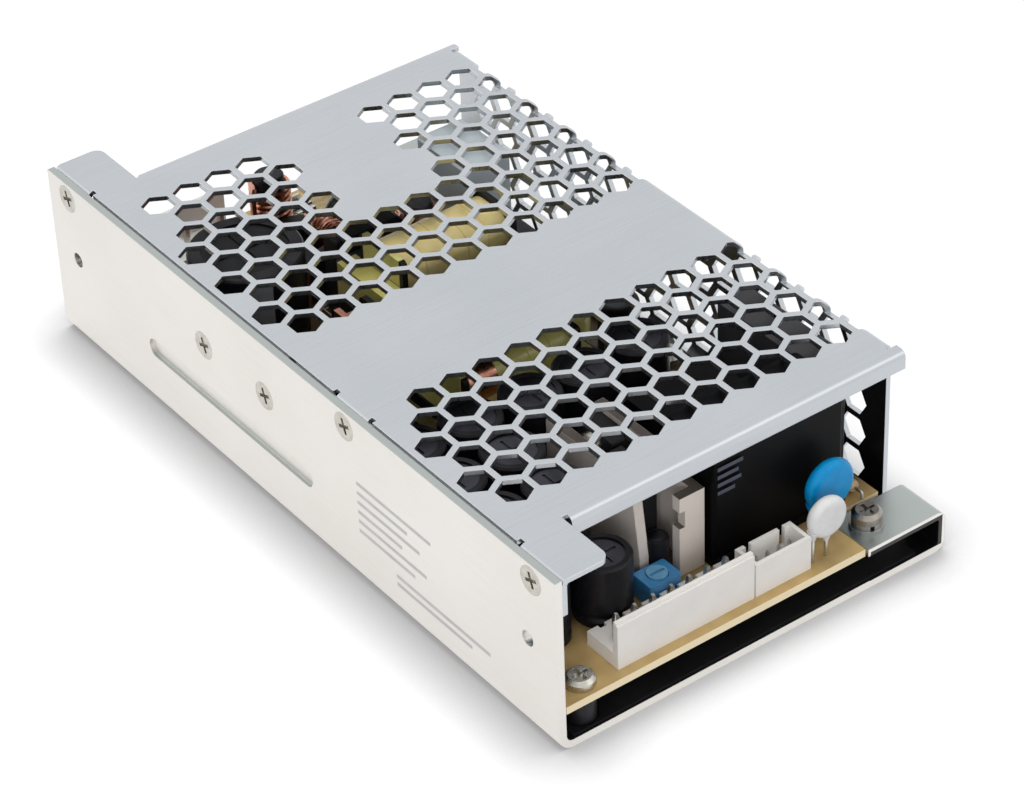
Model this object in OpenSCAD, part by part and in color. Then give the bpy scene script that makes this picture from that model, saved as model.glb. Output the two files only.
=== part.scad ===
// Battery backup power supply: a folded chassis with a perforated cover,
// open at both ends, over a populated circuit board.
// X runs across the case, Y from the output end (-Y) to the input end (+Y), Z up from the base.

/* [Case] */
// Length of the case, end to end
case_l = 158; // [156:0.5:166]
// Width over the two side walls
case_w = 86; // [85:0.5:92]
// Height from the base to the top of the cover
case_h = 36.6; // [36:0.2:42]
// Sheet thickness of the chassis
chassis_t = 1.5; // [1.2:0.1:1.8]
// Outer bend radius between the base and the left wall
wall_bend_r = 3; // [2.4:0.1:4]
// Outer bend radius of the two folds of the end tabs
shelf_bend_r = 2; // [1.9:0.1:2.6]
// Height of the top of the two end tabs on the right
shelf_z = 8.7; // [8.4:0.1:10]
// Width of the end tabs, measured from the right side
shelf_w = 18; // [17:0.5:18.5]
// Length of each end tab along the case
shelf_l = 10.4; // [9:0.2:11]
// Length of the stiffening rib on the left wall
rib_l = 54; // [40:1:60]
// Width of the stiffening rib
rib_w = 4; // [3:0.2:5]
// Pressed depth of the stiffening rib
rib_depth = 0.8; // [0.4:0.1:1]
// Height of the rib's centre line
rib_z = 14; // [13.4:0.1:14.2]

/* [Cover] */
// Sheet thickness of the cover
cover_t = 1; // [0.8:0.1:1.2]
// Distance from the case end to the cover's end edge
cover_setback = 11.8; // [10:0.2:13]
// Outer bend radius of the cover's right-hand fold
cover_bend_r = 2; // [1.6:0.1:2.6]
// Outer bend radius of lips, tabs and foot
lip_bend_r = 1.5; // [1.4:0.1:1.8]
// Depth of the turned-down end lips
lip_h = 3.7; // [3:0.1:5]
// Width of the two ears at the left corners
ear_w = 10; // [8.5:0.5:12]
// Corner radius of the ears
ear_r = 2; // [1:0.2:3]
// Depth of the screw tabs inside the left wall
tab_h = 7.5; // [6.8:0.1:9]
// Width of the middle screw tab
tab_w = 9.4; // [8:0.2:12]
// Distance of the right wall's ends behind the cover's end edge
wall_setback = 3.7; // [3:0.1:6]
// Width of the foot that lies on the base
foot_w = 6; // [5:0.2:7]

/* [Perforation] */
// Distance between hole centres
hex_pitch = 7; // [6.8:0.05:7.2]
// Sheet left between two neighbouring holes
hex_web = 1.2; // [1:0.1:2]
// Rows of holes at the output end
front_rows = 6; // [4:1:6]
// Rows of holes at the input end
back_rows = 9; // [6:1:9]
// Distance from the cover's end edge to the first row
row_margin = 12; // [9:0.5:14]
// Distance from the left side to the first hole of a row
hex_margin = 9.8; // [9.6:0.1:10.4]
// Blank columns kept in the input-end pattern
blank_cols = 3; // [0:1:4]

/* [Board] */
// Thickness of the circuit board
pcb_t = 1.6; // [1.2:0.1:2]
// Height of the standoffs
standoff_h = 5.8; // [5:0.1:6.4]
// Outer diameter of the standoffs
standoff_d = 5.5; // [5:0.1:6]
// Thickness of the insulating film on the base
film_t = 0.4; // [0.2:0.1:0.6]

/* [Fasteners] */
// Thread diameter of all screws
screw_d = 3; // [2.5:0.1:3]
// Head diameter of all screws
head_d = 5.6; // [5:0.1:5.8]
// Head height of the pan-head screws
head_h = 2; // [1.6:0.1:2.4]
// Height of the side fixing holes above the base
side_hole_z = 20; // [19.5:0.1:22]
// Distance of the side fixing holes from the case ends
side_inset = 8; // [7.5:0.1:10]
// Distance of the base fixing holes from the case sides
base_inset_x = 14; // [12.5:0.5:16]
// Distance of the base fixing holes from the case ends
base_inset_y = 19; // [17:0.5:21]

/* [Connectors] */
// Pin pitch of the output and input headers
power_pitch = 3.96; // [3.9:0.01:4]
// Pins of the output header
power_pins = 7; // [5:1:7]
// Height of the power header's wall
power_wall_h = 9.8; // [8:0.1:11]
// Pin pitch of the signal header
signal_pitch = 2.5; // [2:0.1:2.5]
// Pins of the signal header
signal_pins_n = 4; // [3:1:4]
// Height of the signal header's shroud
signal_h = 7; // [6:0.1:9]

/* [Components] */
// Diameter of the output capacitors
cap_d = 11.8; // [10:0.1:11.9]
// Height of the output capacitors
cap_h = 21; // [16:0.5:23]
// Diameter of the bulk capacitor
bulk_d = 22; // [18:0.5:22]
// Height of the bulk capacitor
bulk_h = 22.5; // [18:0.5:23]
// Height of the two board heatsinks
sink_h = 20; // [16:0.5:22]
// Plate thickness of the two board heatsinks
sink_t = 2; // [1.5:0.1:2.2]
// Diameter of the turning part of the trimmer
rotor_d = 3.8; // [3:0.1:4.4]

/* [Clearances] */
// Visible seam between the cover and the left wall
seam = 0.6; // [0.4:0.1:0.8]
// Running clearance between neighbouring pieces
gap = 0.3; // [0.2:0.05:0.4]
// Width of the relief notches beside bent tabs
relief = 1.2; // [0.8:0.1:1.6]

/* [Hidden] */
$fn = 48;
eps = 0.01;

// Faces of the case
left = -case_w / 2;
right = case_w / 2;
front = -case_l / 2;
inner_left = left + chassis_t;
cover_y = case_l / 2 - cover_setback;
wall_y = cover_y - wall_setback;
cover_left = inner_left + seam;
tab_x = inner_left + lip_bend_r;
ear_x = tab_x + ear_w - lip_bend_r;
foot_x = right - foot_w;

// Board faces and reference points
board_gap = 0.4;
board_l = inner_left + board_gap;
board_r = right - shelf_w - board_gap;
board_y = case_l / 2 - board_gap;
wide_y = case_l / 2 - shelf_l - 2 * board_gap;
board_z0 = chassis_t + standoff_h;
bz = board_z0 + pcb_t;

// The layout is drawn for one board size and carried to any other by its share;
// parts shrink with a smaller board and keep their size on a larger one
layout_w = 65.7;
layout_l = 157.2;
ux = (board_r - board_l) / layout_w;
uy = 2 * board_y / layout_l;
us = min(1, ux, uy);
function from_left(u) = board_l + u * ux;
function from_right(u) = board_r - u * ux;
function from_front(v) = -board_y + v * uy;
function from_back(v) = board_y - v * uy;
function mid_y(y) = y * uy;

// Screw positions on the left wall
end_screw_y = case_l / 2 - 6.6;
mid_screw_y = mid_y(-19);
cover_screw_y = [-end_screw_y, mid_screw_y, end_screw_y];
cover_screw_z = case_h - 3.3;
device_y = [mid_y(6.7), mid_y(26.5)];
device_z = 25;
rib_y = mid_y(19.7);

screw_r = screw_d / 2;
recess = 0.7;
clear_r = screw_r + gap;
standoff_at = [
    [from_left(5.6), from_front(3.6)], [from_right(-2.4), from_front(30.1)],
    [from_left(5.2), mid_y(-12)], [foot_x - 3.8, mid_y(-13)],
    [from_left(5.2), from_back(4.6)], [from_right(4.6), from_back(4.6)]
];
base_hole_at = [
    for (sx = [-1, 1], sy = [-1, 1]) [sx * (right - base_inset_x), sy * (case_l / 2 - base_inset_y)]
];
earth_at = [right - 13.6, front + 5.6];
washer_t = 0.8;

// Screws through the base into the cover's foot
foot_screw_x = right - foot_w / 2 - 0.6;
foot_screw_y = [mid_y(-48), 0, mid_y(48)];

// Hole lattice, laid out on the flat sheet and carried over the right-hand fold
hex_af = hex_pitch - hex_web;
row_pitch = hex_pitch * sqrt(3) / 2;
fold_start = right - cover_bend_r;
fold_len = PI / 2 * (cover_bend_r - cover_t / 2);
fold_z = case_h - cover_bend_r;
blank_from = 4;
blank_rows = 5;
hex_cols = 17;
last_front = -cover_y + row_margin + (front_rows - 1) * row_pitch;
last_back = cover_y - row_margin - (back_rows - 1) * row_pitch;
wall_steps = floor((last_back - last_front) / row_pitch);
function row_start(k) = left + hex_margin - (k % 2) * hex_pitch / 2;
function side_z(s) = fold_z - (s - fold_start - fold_len);
function on_top(s) = s + hex_af / 2 < fold_start;
function on_side(s) = s - hex_af / 2 > fold_start + fold_len;
function in_blank(k, i) = k < blank_rows && i >= blank_from + k % 2 && i < blank_from + k % 2 + blank_cols;

// Connector sizes
power_depth = 8.5;
power_base = 3;
power_wall = 1.2;
power_pin = 1.14;
power_end = 1;
power_len = power_pins * power_pitch + 2 * power_end;
header_share = 0.537;
header_y = from_front(2);
signal_depth = 5.75;
signal_wall = 0.8;
signal_floor = 2;
signal_pin = 0.64;
signal_end = 2.45;
signal_len = (signal_pins_n - 1) * signal_pitch + 2 * signal_end;
header_row = power_len + gap + signal_len;
power_x = board_l + header_share * (board_r - board_l - header_row);
signal_x = power_x + power_len + gap;
input_pins_n = 3;
input_pitch = 2 * power_pitch;
input_len = (input_pins_n - 1) * input_pitch + power_pitch + 2 * power_end;
input_x = from_left(12);
input_y = from_back(2);

// Discs on wire leads
disc_t = 3;
surge_r = 4.1 * us;
surge_at = [signal_x + signal_len + gap + surge_r, from_front(3.2), bz + 8.6];
blue_r = 5.2 * us;
blue_at = [from_right(1.2), from_front(8.6), bz + 9.8];
lead_r = 0.4;

// Trimmer
trim_w = 6.8 * us;
trim_d = 5.2 * us;
trim_h = 4.6;
trim_x = from_left(26.6);
trim_y = header_y + power_depth + gap;
rotor_h = 1.6;
rotor_gap = 0.1;

// Electrolytic capacitors
sleeve_t = 0.35;
small_cap_d = 8 * us;
front_cap_d = 10.8 * us;
cap_row_y = [from_front(27.8), from_front(39.85), from_front(51.9)];
cap_col_x = [from_left(7), from_left(19.4)];
cap_more_at = [
    [from_left(31.8), from_front(51)], [from_left(43.7), from_front(51)], [from_left(56.6), from_front(52.2)]
];
cap_list = concat(
    [for (x = cap_col_x, y = cap_row_y) [x, y, cap_d * us, cap_h]],
    [for (p = cap_more_at) [p[0], p[1], cap_d * us, cap_h]],
    [[from_left(20.3), from_front(16.2), front_cap_d, 12.6]],
    [[from_left(13), mid_y(12), 10 * us, 16], [from_left(12), mid_y(-2), small_cap_d, 12]]
);
bulk_at = [from_left(16.4), from_back(39)];

// Heatsinks and rectifiers on the board
sink_a_x = from_left(29.7);
sink_a_y = trim_y + trim_d + 6 * gap;
sink_a_l = 26 * us;
sink_slant = 2.2 * us;
sink_b_x = from_left(35.9);
sink_b_w = 5.5 * us;
sink_b_h = sink_h * 0.85;
sink_b_y = header_y + power_depth + 4 * uy;
sink_b_l = 28 * us;
rect_w = 10 * us;
rect_t = 4.4 * us;
rect_h = 15;
rect_z = bz + 4;
rect_a_y = from_front(26);
rect_b_y = from_front(36.8);
rect_hole_z = rect_z + rect_h - 3;

// Relays: corner x, corner y, width, depth, height; and the tall capacitor at the right wall
tall_h = min(25.5, case_h - cover_t - bz - 3 * gap);
relay_at = [
    [sink_b_x + sink_b_w + 3 * gap, from_front(12.8), 29 * us, 13 * us, tall_h],
    [from_left(45.1), from_front(28.1), 19.4 * us, 13.4 * us, 19]
];
box_w = 7.6 * us;
box_d = 27.3 * us;
box_h = 23.6;
box_x = foot_x - 6.2;
box_y = from_front(21.3);

// Magnetics: centre x, centre y, winding length, winding width, winding height, core band
transformer = [from_left(49.6), mid_y(24.5), 24 * us, 12 * us, 21, 11];
choke = [from_left(37.1), mid_y(-11.4), 23.6 * us, 12.4 * us, 20.5, 9];
standby = [from_left(25.1), mid_y(14.5), 5 * us, 8 * us, 17, 7];
flange_t = 1.2;
flange_lip = 0.8;

// Mains side parts
line_choke_at = [from_left(37.1), from_back(26.6)];
line_choke_r = 8.6 * us;
line_choke_bore = 4.4 * us;
line_choke_h = 8;
line_wire_t = 1;
film_w = 11 * us;
film_d = 16 * us;
film_h = 22;
film_at = [from_right(-2.9), from_back(36.1)];
bridge_w = 16 * us;
bridge_t = 4.6;
bridge_h = 18;
bridge_at = [from_left(42.1), from_back(40.4)];
fuse_r = 2.6;
fuse_l = 20 * us;
fuse_cap = 5 * us;
fuse_at = [from_right(13.5), from_back(13), bz + 4.4];
clip_t = 0.5;
thermistor_r = 5 * us;
thermistor_at = [from_right(15), from_back(21), bz + 7];
controller_at = [
    [from_left(11.5), mid_y(-13.4)], [from_left(17.1), mid_y(-13.4)], [from_right(-3), mid_y(-13.4)]
];

// Power transistors on the left wall
pad_t = 0.4;
device_w = 10 * us;
device_h = 11;
device_t = 4.4;
device_low = device_z - 8;
device_x = inner_left + pad_t;
nut_h = 2.4;
nut_af = 5.5;

// Rectangle between two corners
module rect2d(a, b) {
    translate(a) square(b - a);
}

// Quarter ring of a folded sheet, about c, in the quadrant of signs q
module fold2d(c, r, t, q) {
    translate(c) intersection() {
        difference() {
            circle(r = r);
            circle(r = r - t);
        }
        translate([q[0] < 0 ? -r : 0, q[1] < 0 ? -r : 0]) square(r);
    }
}

// Rectangle with round corners, centred
module round2d(w, h, r) {
    square([w - 2 * r, h], center = true);
    square([w, h - 2 * r], center = true);
    for (x = [-1, 1], y = [-1, 1]) translate([x * (w / 2 - r), y * (h / 2 - r)]) circle(r = r);
}

// Straight slot with round ends along the first axis, centred
module slot2d(l, w) {
    square([l - w, w], center = true);
    for (x = [-1, 1]) translate([x * (l - w) / 2, 0]) circle(d = w);
}

// Section in X and Z, drawn out along Y
module along_y(y0, y1) {
    translate([0, y1, 0]) rotate([90, 0, 0]) linear_extrude(y1 - y0) children();
}

// Section in Y and Z, drawn out along X
module along_x(x0, x1) {
    translate([x0, 0, 0]) rotate([90, 0, 90]) linear_extrude(x1 - x0) children();
}

// Round bar along X
module bar_x(x0, x1, y, z, r) {
    translate([x0, y, z]) rotate([0, 90, 0]) cylinder(r = r, h = x1 - x0);
}

// Pan-head screw, head up, seated at z = 0, with a cross recess
module pan_screw(shank) {
    dome = head_h * 0.35;
    difference() {
        union() {
            rotate_extrude() polygon([
                [0, 0], [head_d / 2, 0], [head_d / 2, head_h - dome],
                [head_d / 2 - dome, head_h], [0, head_h]
            ]);
            translate([0, 0, -shank]) cylinder(r = screw_r, h = shank);
        }
        for (a = [0, 90]) rotate([0, 0, a]) translate([0, 0, head_h])
            cube([3.2, 0.7, 2 * recess], center = true);
    }
}

// Countersunk screw, its head up and flush with z = 0
module flush_screw(shank) {
    r = head_d / 2;
    difference() {
        rotate_extrude() polygon([[0, 0], [r, 0], [screw_r, screw_r - r], [screw_r, -shank], [0, -shank]]);
        for (a = [0, 90]) rotate([0, 0, a + 20]) cube([3.2, 0.7, 2 * recess], center = true);
    }
}

// Countersunk clearance hole for it in the chassis sheet
module flush_hole() {
    r = head_d / 2;
    rotate_extrude() polygon([
        [0, 1], [r, 1], [r, 0], [clear_r, clear_r - r], [clear_r, -chassis_t - 1], [0, -chassis_t - 1]
    ]);
}

// Place on the outside of the left wall, facing out
module on_wall(y, z) {
    translate([left, y, z]) rotate([0, -90, 0]) children();
}

// Places under the base, facing down, below the cover's foot
module under_foot() {
    for (y = foot_screw_y) translate([foot_screw_x, y, 0]) rotate([180, 0, 0]) children();
}

module chassis_section() {
    rect2d([left, wall_bend_r], [inner_left, case_h]);
    fold2d([left + wall_bend_r, wall_bend_r], wall_bend_r, chassis_t, [-1, -1]);
    rect2d([left + wall_bend_r, 0], [right - shelf_bend_r, chassis_t]);
}

// End tab: up from the base, then in over it
module shelf_section() {
    fold2d([right - shelf_bend_r, shelf_bend_r], shelf_bend_r, chassis_t, [1, -1]);
    rect2d([right - chassis_t, shelf_bend_r], [right, shelf_z - shelf_bend_r]);
    fold2d([right - shelf_bend_r, shelf_z - shelf_bend_r], shelf_bend_r, chassis_t, [1, 1]);
    rect2d([right - shelf_w, shelf_z - chassis_t], [right - shelf_bend_r, shelf_z]);
}

module chassis() color("gainsboro") {
    difference() {
        union() {
            along_y(front, -front) chassis_section();
            for (m = [0, 1]) mirror([0, m, 0]) along_y(front, front + shelf_l) shelf_section();
            along_y(front + shelf_l + relief, -front - shelf_l - relief)
                rect2d([right - shelf_bend_r - eps, 0], [right, chassis_t]);
            along_x(inner_left - eps, inner_left + rib_depth)
                translate([rib_y, rib_z]) slot2d(rib_l * us, rib_w);
        }
        along_x(left - eps, left + rib_depth) translate([rib_y, rib_z]) slot2d(rib_l * us, rib_w);
        for (y = cover_screw_y) on_wall(y, cover_screw_z) flush_hole();
        for (y = device_y) on_wall(y, device_z) flush_hole();
        under_foot() flush_hole();
        for (s = [-1, 1])
            bar_x(left - 1, inner_left + 1, s * (case_l / 2 - side_inset), side_hole_z, screw_r);
        for (p = base_hole_at) translate([p[0], p[1], -1]) cylinder(r = screw_r, h = chassis_t + 2);
        for (p = standoff_at) translate([p[0], p[1], -1]) cylinder(r = screw_r, h = chassis_t + 2);
        translate([earth_at[0], earth_at[1], shelf_z - chassis_t - 1])
            cylinder(r = screw_r, h = chassis_t + 2);
    }
}

module cover_section() {
    rect2d([tab_x, case_h - cover_t], [fold_start, case_h]);
    fold2d([fold_start, fold_z], cover_bend_r, cover_t, [1, 1]);
    rect2d([right - cover_t, chassis_t + lip_bend_r], [right, fold_z]);
    fold2d([right - lip_bend_r, chassis_t + lip_bend_r], lip_bend_r, cover_t, [1, -1]);
    rect2d([foot_x, chassis_t], [right - lip_bend_r, chassis_t + cover_t]);
}

module lip_section() {
    fold2d([-cover_y + lip_bend_r, case_h - lip_bend_r], lip_bend_r, cover_t, [-1, 1]);
    rect2d([-cover_y, case_h - lip_h], [-cover_y + cover_t, case_h - lip_bend_r]);
}

module tab_section() {
    fold2d([tab_x, case_h - lip_bend_r], lip_bend_r, cover_t, [-1, 1]);
    rect2d([inner_left, case_h - tab_h], [inner_left + cover_t, case_h - lip_bend_r]);
}

// Outline of the end strip, its ear and the strip beside the seam, at the output end
module end_outline() {
    rect2d([tab_x, -cover_y + lip_bend_r], [right, -wall_y - relief]);
    rect2d([tab_x, -wall_y - relief - eps], [fold_start, -wall_y + eps]);
    rect2d([tab_x, front], [ear_x - ear_r, -cover_y + 2 * lip_bend_r]);
    rect2d([tab_x, front + ear_r], [ear_x, -cover_y + 2 * lip_bend_r]);
    translate([ear_x - ear_r, front + ear_r]) circle(r = ear_r);
}

module seam_strips() {
    y = [
        -cover_y + relief, mid_screw_y - tab_w / 2 - relief,
        mid_screw_y + tab_w / 2 + relief, cover_y - relief
    ];
    for (i = [0, 2]) rect2d([cover_left, y[i]], [tab_x + eps, y[i + 1]]);
}

// Six-sided prism with two corners along Y, across flats hex_af
module hex_prism(h) {
    rotate([0, 0, 30]) cylinder(d = hex_af / cos(30), h = h, $fn = 6);
}

module hole_at(s, y) {
    if (!on_side(s)) translate([s, y, on_top(s) ? case_h - cover_t - 1 : fold_z - cover_t / 2])
        hex_prism(cover_bend_r + 4);
    if (!on_top(s)) translate([on_side(s) ? right - cover_t - 1 : fold_start, y, side_z(s)])
        rotate([0, 90, 0]) hex_prism(cover_bend_r + 4);
}

// One row of the lattice; the rows between the two ends are kept to the right wall
module hole_row(y, k, zone) {
    for (i = [0 : hex_cols]) {
        s = row_start(k) + i * hex_pitch;
        low = side_z(s) - hex_af / 2 > chassis_t + lip_bend_r;
        blank = zone == "input" ? in_blank(k, i) || (k == 1 && i == 0)
            : zone == "output" ? k == front_rows - 1 && i == 0
            : !on_side(s);
        if (!blank && (on_top(s) || low)) hole_at(s, y);
    }
}

module perforation() {
    for (k = [0 : front_rows - 1]) hole_row(-cover_y + row_margin + k * row_pitch, k, "output");
    for (k = [0 : back_rows - 1]) hole_row(cover_y - row_margin - k * row_pitch, k, "input");
    for (n = [1 : wall_steps - 1])
        hole_row(last_front + n * (last_back - last_front) / wall_steps, front_rows - 1 + n, "wall");
}

module cover() color("silver") {
    difference() {
        union() {
            along_y(-wall_y, wall_y) cover_section();
            translate([0, 0, case_h - cover_t]) linear_extrude(cover_t) {
                for (m = [0, 1]) mirror([0, m, 0]) end_outline();
                seam_strips();
            }
            for (m = [0, 1]) mirror([0, m, 0]) {
                along_x(ear_x + relief, right) lip_section();
                along_y(front, -cover_y) tab_section();
            }
            along_y(mid_screw_y - tab_w / 2, mid_screw_y + tab_w / 2) tab_section();
        }
        perforation();
        for (y = cover_screw_y) bar_x(inner_left - 1, inner_left + cover_t + 1, y, cover_screw_z, screw_r);
        under_foot() translate([0, 0, -chassis_t - cover_t - 1]) cylinder(r = screw_r, h = cover_t + 2);
    }
}

module cover_screws() color("lightgrey") {
    for (y = cover_screw_y) on_wall(y, cover_screw_z) flush_screw(chassis_t + cover_t + 2);
    under_foot() flush_screw(chassis_t + cover_t + 1.5);
}

module device_screws() color("lightgrey") {
    for (y = device_y) on_wall(y, device_z) flush_screw(chassis_t + pad_t + device_t + nut_h + 0.6);
}

module device_nuts() color("darkgrey") {
    for (y = device_y) translate([device_x + device_t, y, device_z]) rotate([0, 90, 0]) difference() {
        cylinder(d = nut_af / cos(30), h = nut_h, $fn = 6);
        translate([0, 0, -1]) cylinder(r = screw_r, h = nut_h + 2);
    }
}

module device_plate(x0, x1, grow) {
    for (y = device_y) difference() {
        along_x(x0, x1) translate([y, device_low + device_h / 2])
            round2d(device_w + grow, device_h + grow * 0.8, 0.6);
        bar_x(x0 - 1, x1 + 1, y, device_z, clear_r);
    }
}

module device_pads() color("lightsteelblue") {
    device_plate(inner_left, device_x, 1);
}

module power_transistors() color("dimgrey") {
    device_plate(device_x, device_x + device_t, 0);
}

module transistor_leads() color("silver") {
    for (y = device_y, i = [-1, 0, 1])
        translate([device_x + device_t / 2, y + i * 2.54, bz]) cylinder(r = lead_r, h = device_low - bz);
}

module insulating_film() color("beige") {
    translate([0, 0, chassis_t]) linear_extrude(film_t) difference() {
        rect2d([left + wall_bend_r + gap, front + 2 * gap], [foot_x - gap, -front - 2 * gap]);
        for (p = standoff_at) translate(p) circle(d = standoff_d + 2 * gap);
        for (p = base_hole_at) translate(p) circle(r = screw_d);
    }
}

module standoffs() color("silver") {
    for (p = standoff_at) translate([p[0], p[1], chassis_t]) difference() {
        cylinder(d = standoff_d, h = standoff_h);
        translate([0, 0, -1]) cylinder(r = screw_r, h = standoff_h + 2);
    }
}

// Board, notched at its two right-hand corners beside the end tabs
module circuit_board() color("tan") {
    translate([0, 0, board_z0]) linear_extrude(pcb_t) difference() {
        union() {
            rect2d([board_l, -board_y], [board_r, board_y]);
            rect2d([board_l, -wide_y], [foot_x, wide_y]);
        }
        for (p = standoff_at) translate(p) circle(r = clear_r);
    }
}

module board_screws() color("lightgrey") {
    for (p = standoff_at) translate([p[0], p[1], bz]) pan_screw(pcb_t + standoff_h - 1);
}

module earth_washer() color("darkgrey") {
    translate([earth_at[0], earth_at[1], shelf_z]) difference() {
        cylinder(d = head_d + 0.8, h = washer_t);
        translate([0, 0, -1]) cylinder(r = clear_r, h = washer_t + 2);
    }
}

// Split spring washer between the flat washer and the screw head
module lock_washer() color("grey") {
    translate([earth_at[0], earth_at[1], shelf_z + washer_t]) difference() {
        cylinder(d = head_d, h = washer_t);
        translate([0, 0, -1]) cylinder(r = clear_r, h = washer_t + 2);
        rotate([0, 0, 250]) translate([0, -0.4, -1]) cube([head_d, 0.8, washer_t + 2]);
    }
}

module earth_screw() color("lightgrey") {
    translate([earth_at[0], earth_at[1], shelf_z + 2 * washer_t]) pan_screw(2 * washer_t + chassis_t + 0.5);
}

// Open pin header: base strip with one tall wall on the outer side, on the origin
module wall_header(len, pins, pitch, start) {
    difference() {
        along_x(0, len) {
            rect2d([0, 0], [power_depth, power_base]);
            rect2d([0, 0], [power_wall, power_wall_h - 0.5]);
            rect2d([0.4, 0], [power_wall, power_wall_h]);
        }
        for (i = [0 : pins - 1]) translate([start + i * pitch, power_depth / 2, power_base])
            cube([power_pin, power_pin, 2], center = true);
        for (i = [0 : pins - 1]) translate([start + i * pitch, power_depth, 0])
            cube([1.4, 1.6, 2 * power_base + 1], center = true);
    }
}

module header_pins(pins, pitch, start) {
    for (i = [0 : pins - 1])
        translate([start + i * pitch - power_pin / 2, power_depth / 2 - power_pin / 2, power_base - 1])
            cube([power_pin, power_pin, 8.1 - power_base + 1]);
}

module output_header() color("whitesmoke") {
    translate([power_x, header_y, bz])
        wall_header(power_len, power_pins, power_pitch, power_end + power_pitch / 2);
}

module output_pins() color("silver") {
    translate([power_x, header_y, bz]) header_pins(power_pins, power_pitch, power_end + power_pitch / 2);
}

module input_header() color("whitesmoke") {
    translate([input_x, input_y, bz]) mirror([0, 1, 0])
        wall_header(input_len, input_pins_n, input_pitch, power_end + power_pitch / 2);
}

module input_pins() color("silver") {
    translate([input_x, input_y, bz]) mirror([0, 1, 0])
        header_pins(input_pins_n, input_pitch, power_end + power_pitch / 2);
}

module signal_header() color("whitesmoke") {
    translate([signal_x, header_y, bz]) difference() {
        cube([signal_len, signal_depth, signal_h]);
        translate([signal_wall, signal_wall, signal_floor])
            cube([signal_len - 2 * signal_wall, signal_depth - 2 * signal_wall, signal_h]);
        for (x = [signal_end, signal_len - signal_end]) translate([x, signal_depth, signal_h])
            cube([1.2, 3 * signal_wall, 2 * signal_h - 6], center = true);
        for (i = [0 : signal_pins_n - 1])
            translate([signal_end + i * signal_pitch, signal_depth / 2, signal_floor])
                cube([signal_pin, signal_pin, 2], center = true);
    }
}

module signal_pins() color("silver") {
    for (i = [0 : signal_pins_n - 1])
        translate([signal_x + signal_end + i * signal_pitch - signal_pin / 2,
                   header_y + signal_depth / 2 - signal_pin / 2, bz + signal_floor - 1])
            cube([signal_pin, signal_pin, signal_h - signal_floor]);
}

// Coated disc that faces the output end, round at its rim
module coated_disc(p, r) {
    e = disc_t / 3;
    translate(p) rotate([90, 0, 0]) translate([0, 0, -disc_t / 2]) rotate_extrude() polygon([
        [0, 0], [r - e, 0], [r - e / 3, e / 2], [r, e], [r, disc_t - e],
        [r - e / 3, disc_t - e / 2], [r - e, disc_t], [0, disc_t]
    ]);
}

// Two wire leads from the board up to a disc
module leads(p, r) {
    difference() {
        for (x = [-0.75, 0]) translate([p[0] + x * r, p[1], bz]) cylinder(r = lead_r, h = p[2] - bz);
        coated_disc(p, r);
    }
}

module surge_disc() color("gainsboro") coated_disc(surge_at, surge_r);

module blue_disc() color("deepskyblue") coated_disc(blue_at, blue_r);

module disc_leads() color("silver") {
    leads(surge_at, surge_r);
    leads(blue_at, blue_r);
    leads(thermistor_at, thermistor_r);
}

module thermistor() color("darkolivegreen") coated_disc(thermistor_at, thermistor_r);

module trimmer_body() color("steelblue") {
    translate([trim_x, trim_y, bz]) difference() {
        translate([trim_w / 2, trim_d / 2, 0]) linear_extrude(trim_h) round2d(trim_w, trim_d, 0.5);
        translate([trim_w / 2, trim_d / 2, trim_h - rotor_h - rotor_gap + 0.4])
            cylinder(d = rotor_d + 2 * rotor_gap, h = rotor_h + 1);
    }
}

module trimmer_rotor() color("white") {
    translate([trim_x + trim_w / 2, trim_y + trim_d / 2, bz + trim_h - rotor_h + 0.4]) difference() {
        cylinder(d = rotor_d, h = rotor_h);
        translate([0, 0, rotor_h]) cube([rotor_d * 0.8, 0.6, 1.2], center = true);
    }
}

// Rolled can with its crimp and a scored top
module can(p, d, h) {
    r = d / 2 - sleeve_t;
    translate(p) difference() {
        rotate_extrude() polygon([
            [0, 0], [r, 0], [r, 1.2], [r - 0.5, 1.8], [r - 0.5, 2.4], [r, 3],
            [r, h - sleeve_t], [0, h - sleeve_t]
        ]);
        for (a = [0, 90]) rotate([0, 0, a]) translate([0, 0, h - sleeve_t])
            cube([d * 0.55, 0.5, 0.5], center = true);
    }
}

// Shrunk sleeve over a can, turned over at the top
module sleeve(p, d, h) {
    r = d / 2;
    i = r - sleeve_t;
    translate(p) rotate_extrude() polygon([
        [i, 0], [r, 0], [r, 1.2], [r - 0.5, 1.8], [r - 0.5, 2.4], [r, 3],
        [r, h - sleeve_t], [r - sleeve_t, h], [r - d * 0.12, h], [r - d * 0.12, h - sleeve_t],
        [i, h - sleeve_t], [i, 3], [i - 0.5, 2.4], [i - 0.5, 1.8], [i, 1.2]
    ]);
}

module cap_cans() color("slategrey") {
    for (c = cap_list) can([c[0], c[1], bz], c[2], c[3]);
}

module cap_sleeves() color([0.1, 0.1, 0.12]) {
    for (c = cap_list) sleeve([c[0], c[1], bz], c[2], c[3]);
}

module bulk_can() color("slategrey") can([bulk_at[0], bulk_at[1], bz], bulk_d * us, bulk_h);

module bulk_sleeve() color([0.1, 0.1, 0.12]) sleeve([bulk_at[0], bulk_at[1], bz], bulk_d * us, bulk_h);

module slanted_heatsink() color("rosybrown") {
    difference() {
        along_x(sink_a_x, sink_a_x + sink_t) polygon([
            [sink_a_y, bz], [sink_a_y + sink_a_l, bz], [sink_a_y + sink_a_l, bz + sink_h],
            [sink_a_y + sink_slant, bz + sink_h], [sink_a_y, bz + sink_h * 0.25]
        ]);
        bar_x(sink_a_x - 1, sink_a_x + sink_t + 1, rect_a_y, rect_hole_z, screw_r);
    }
}

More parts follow.
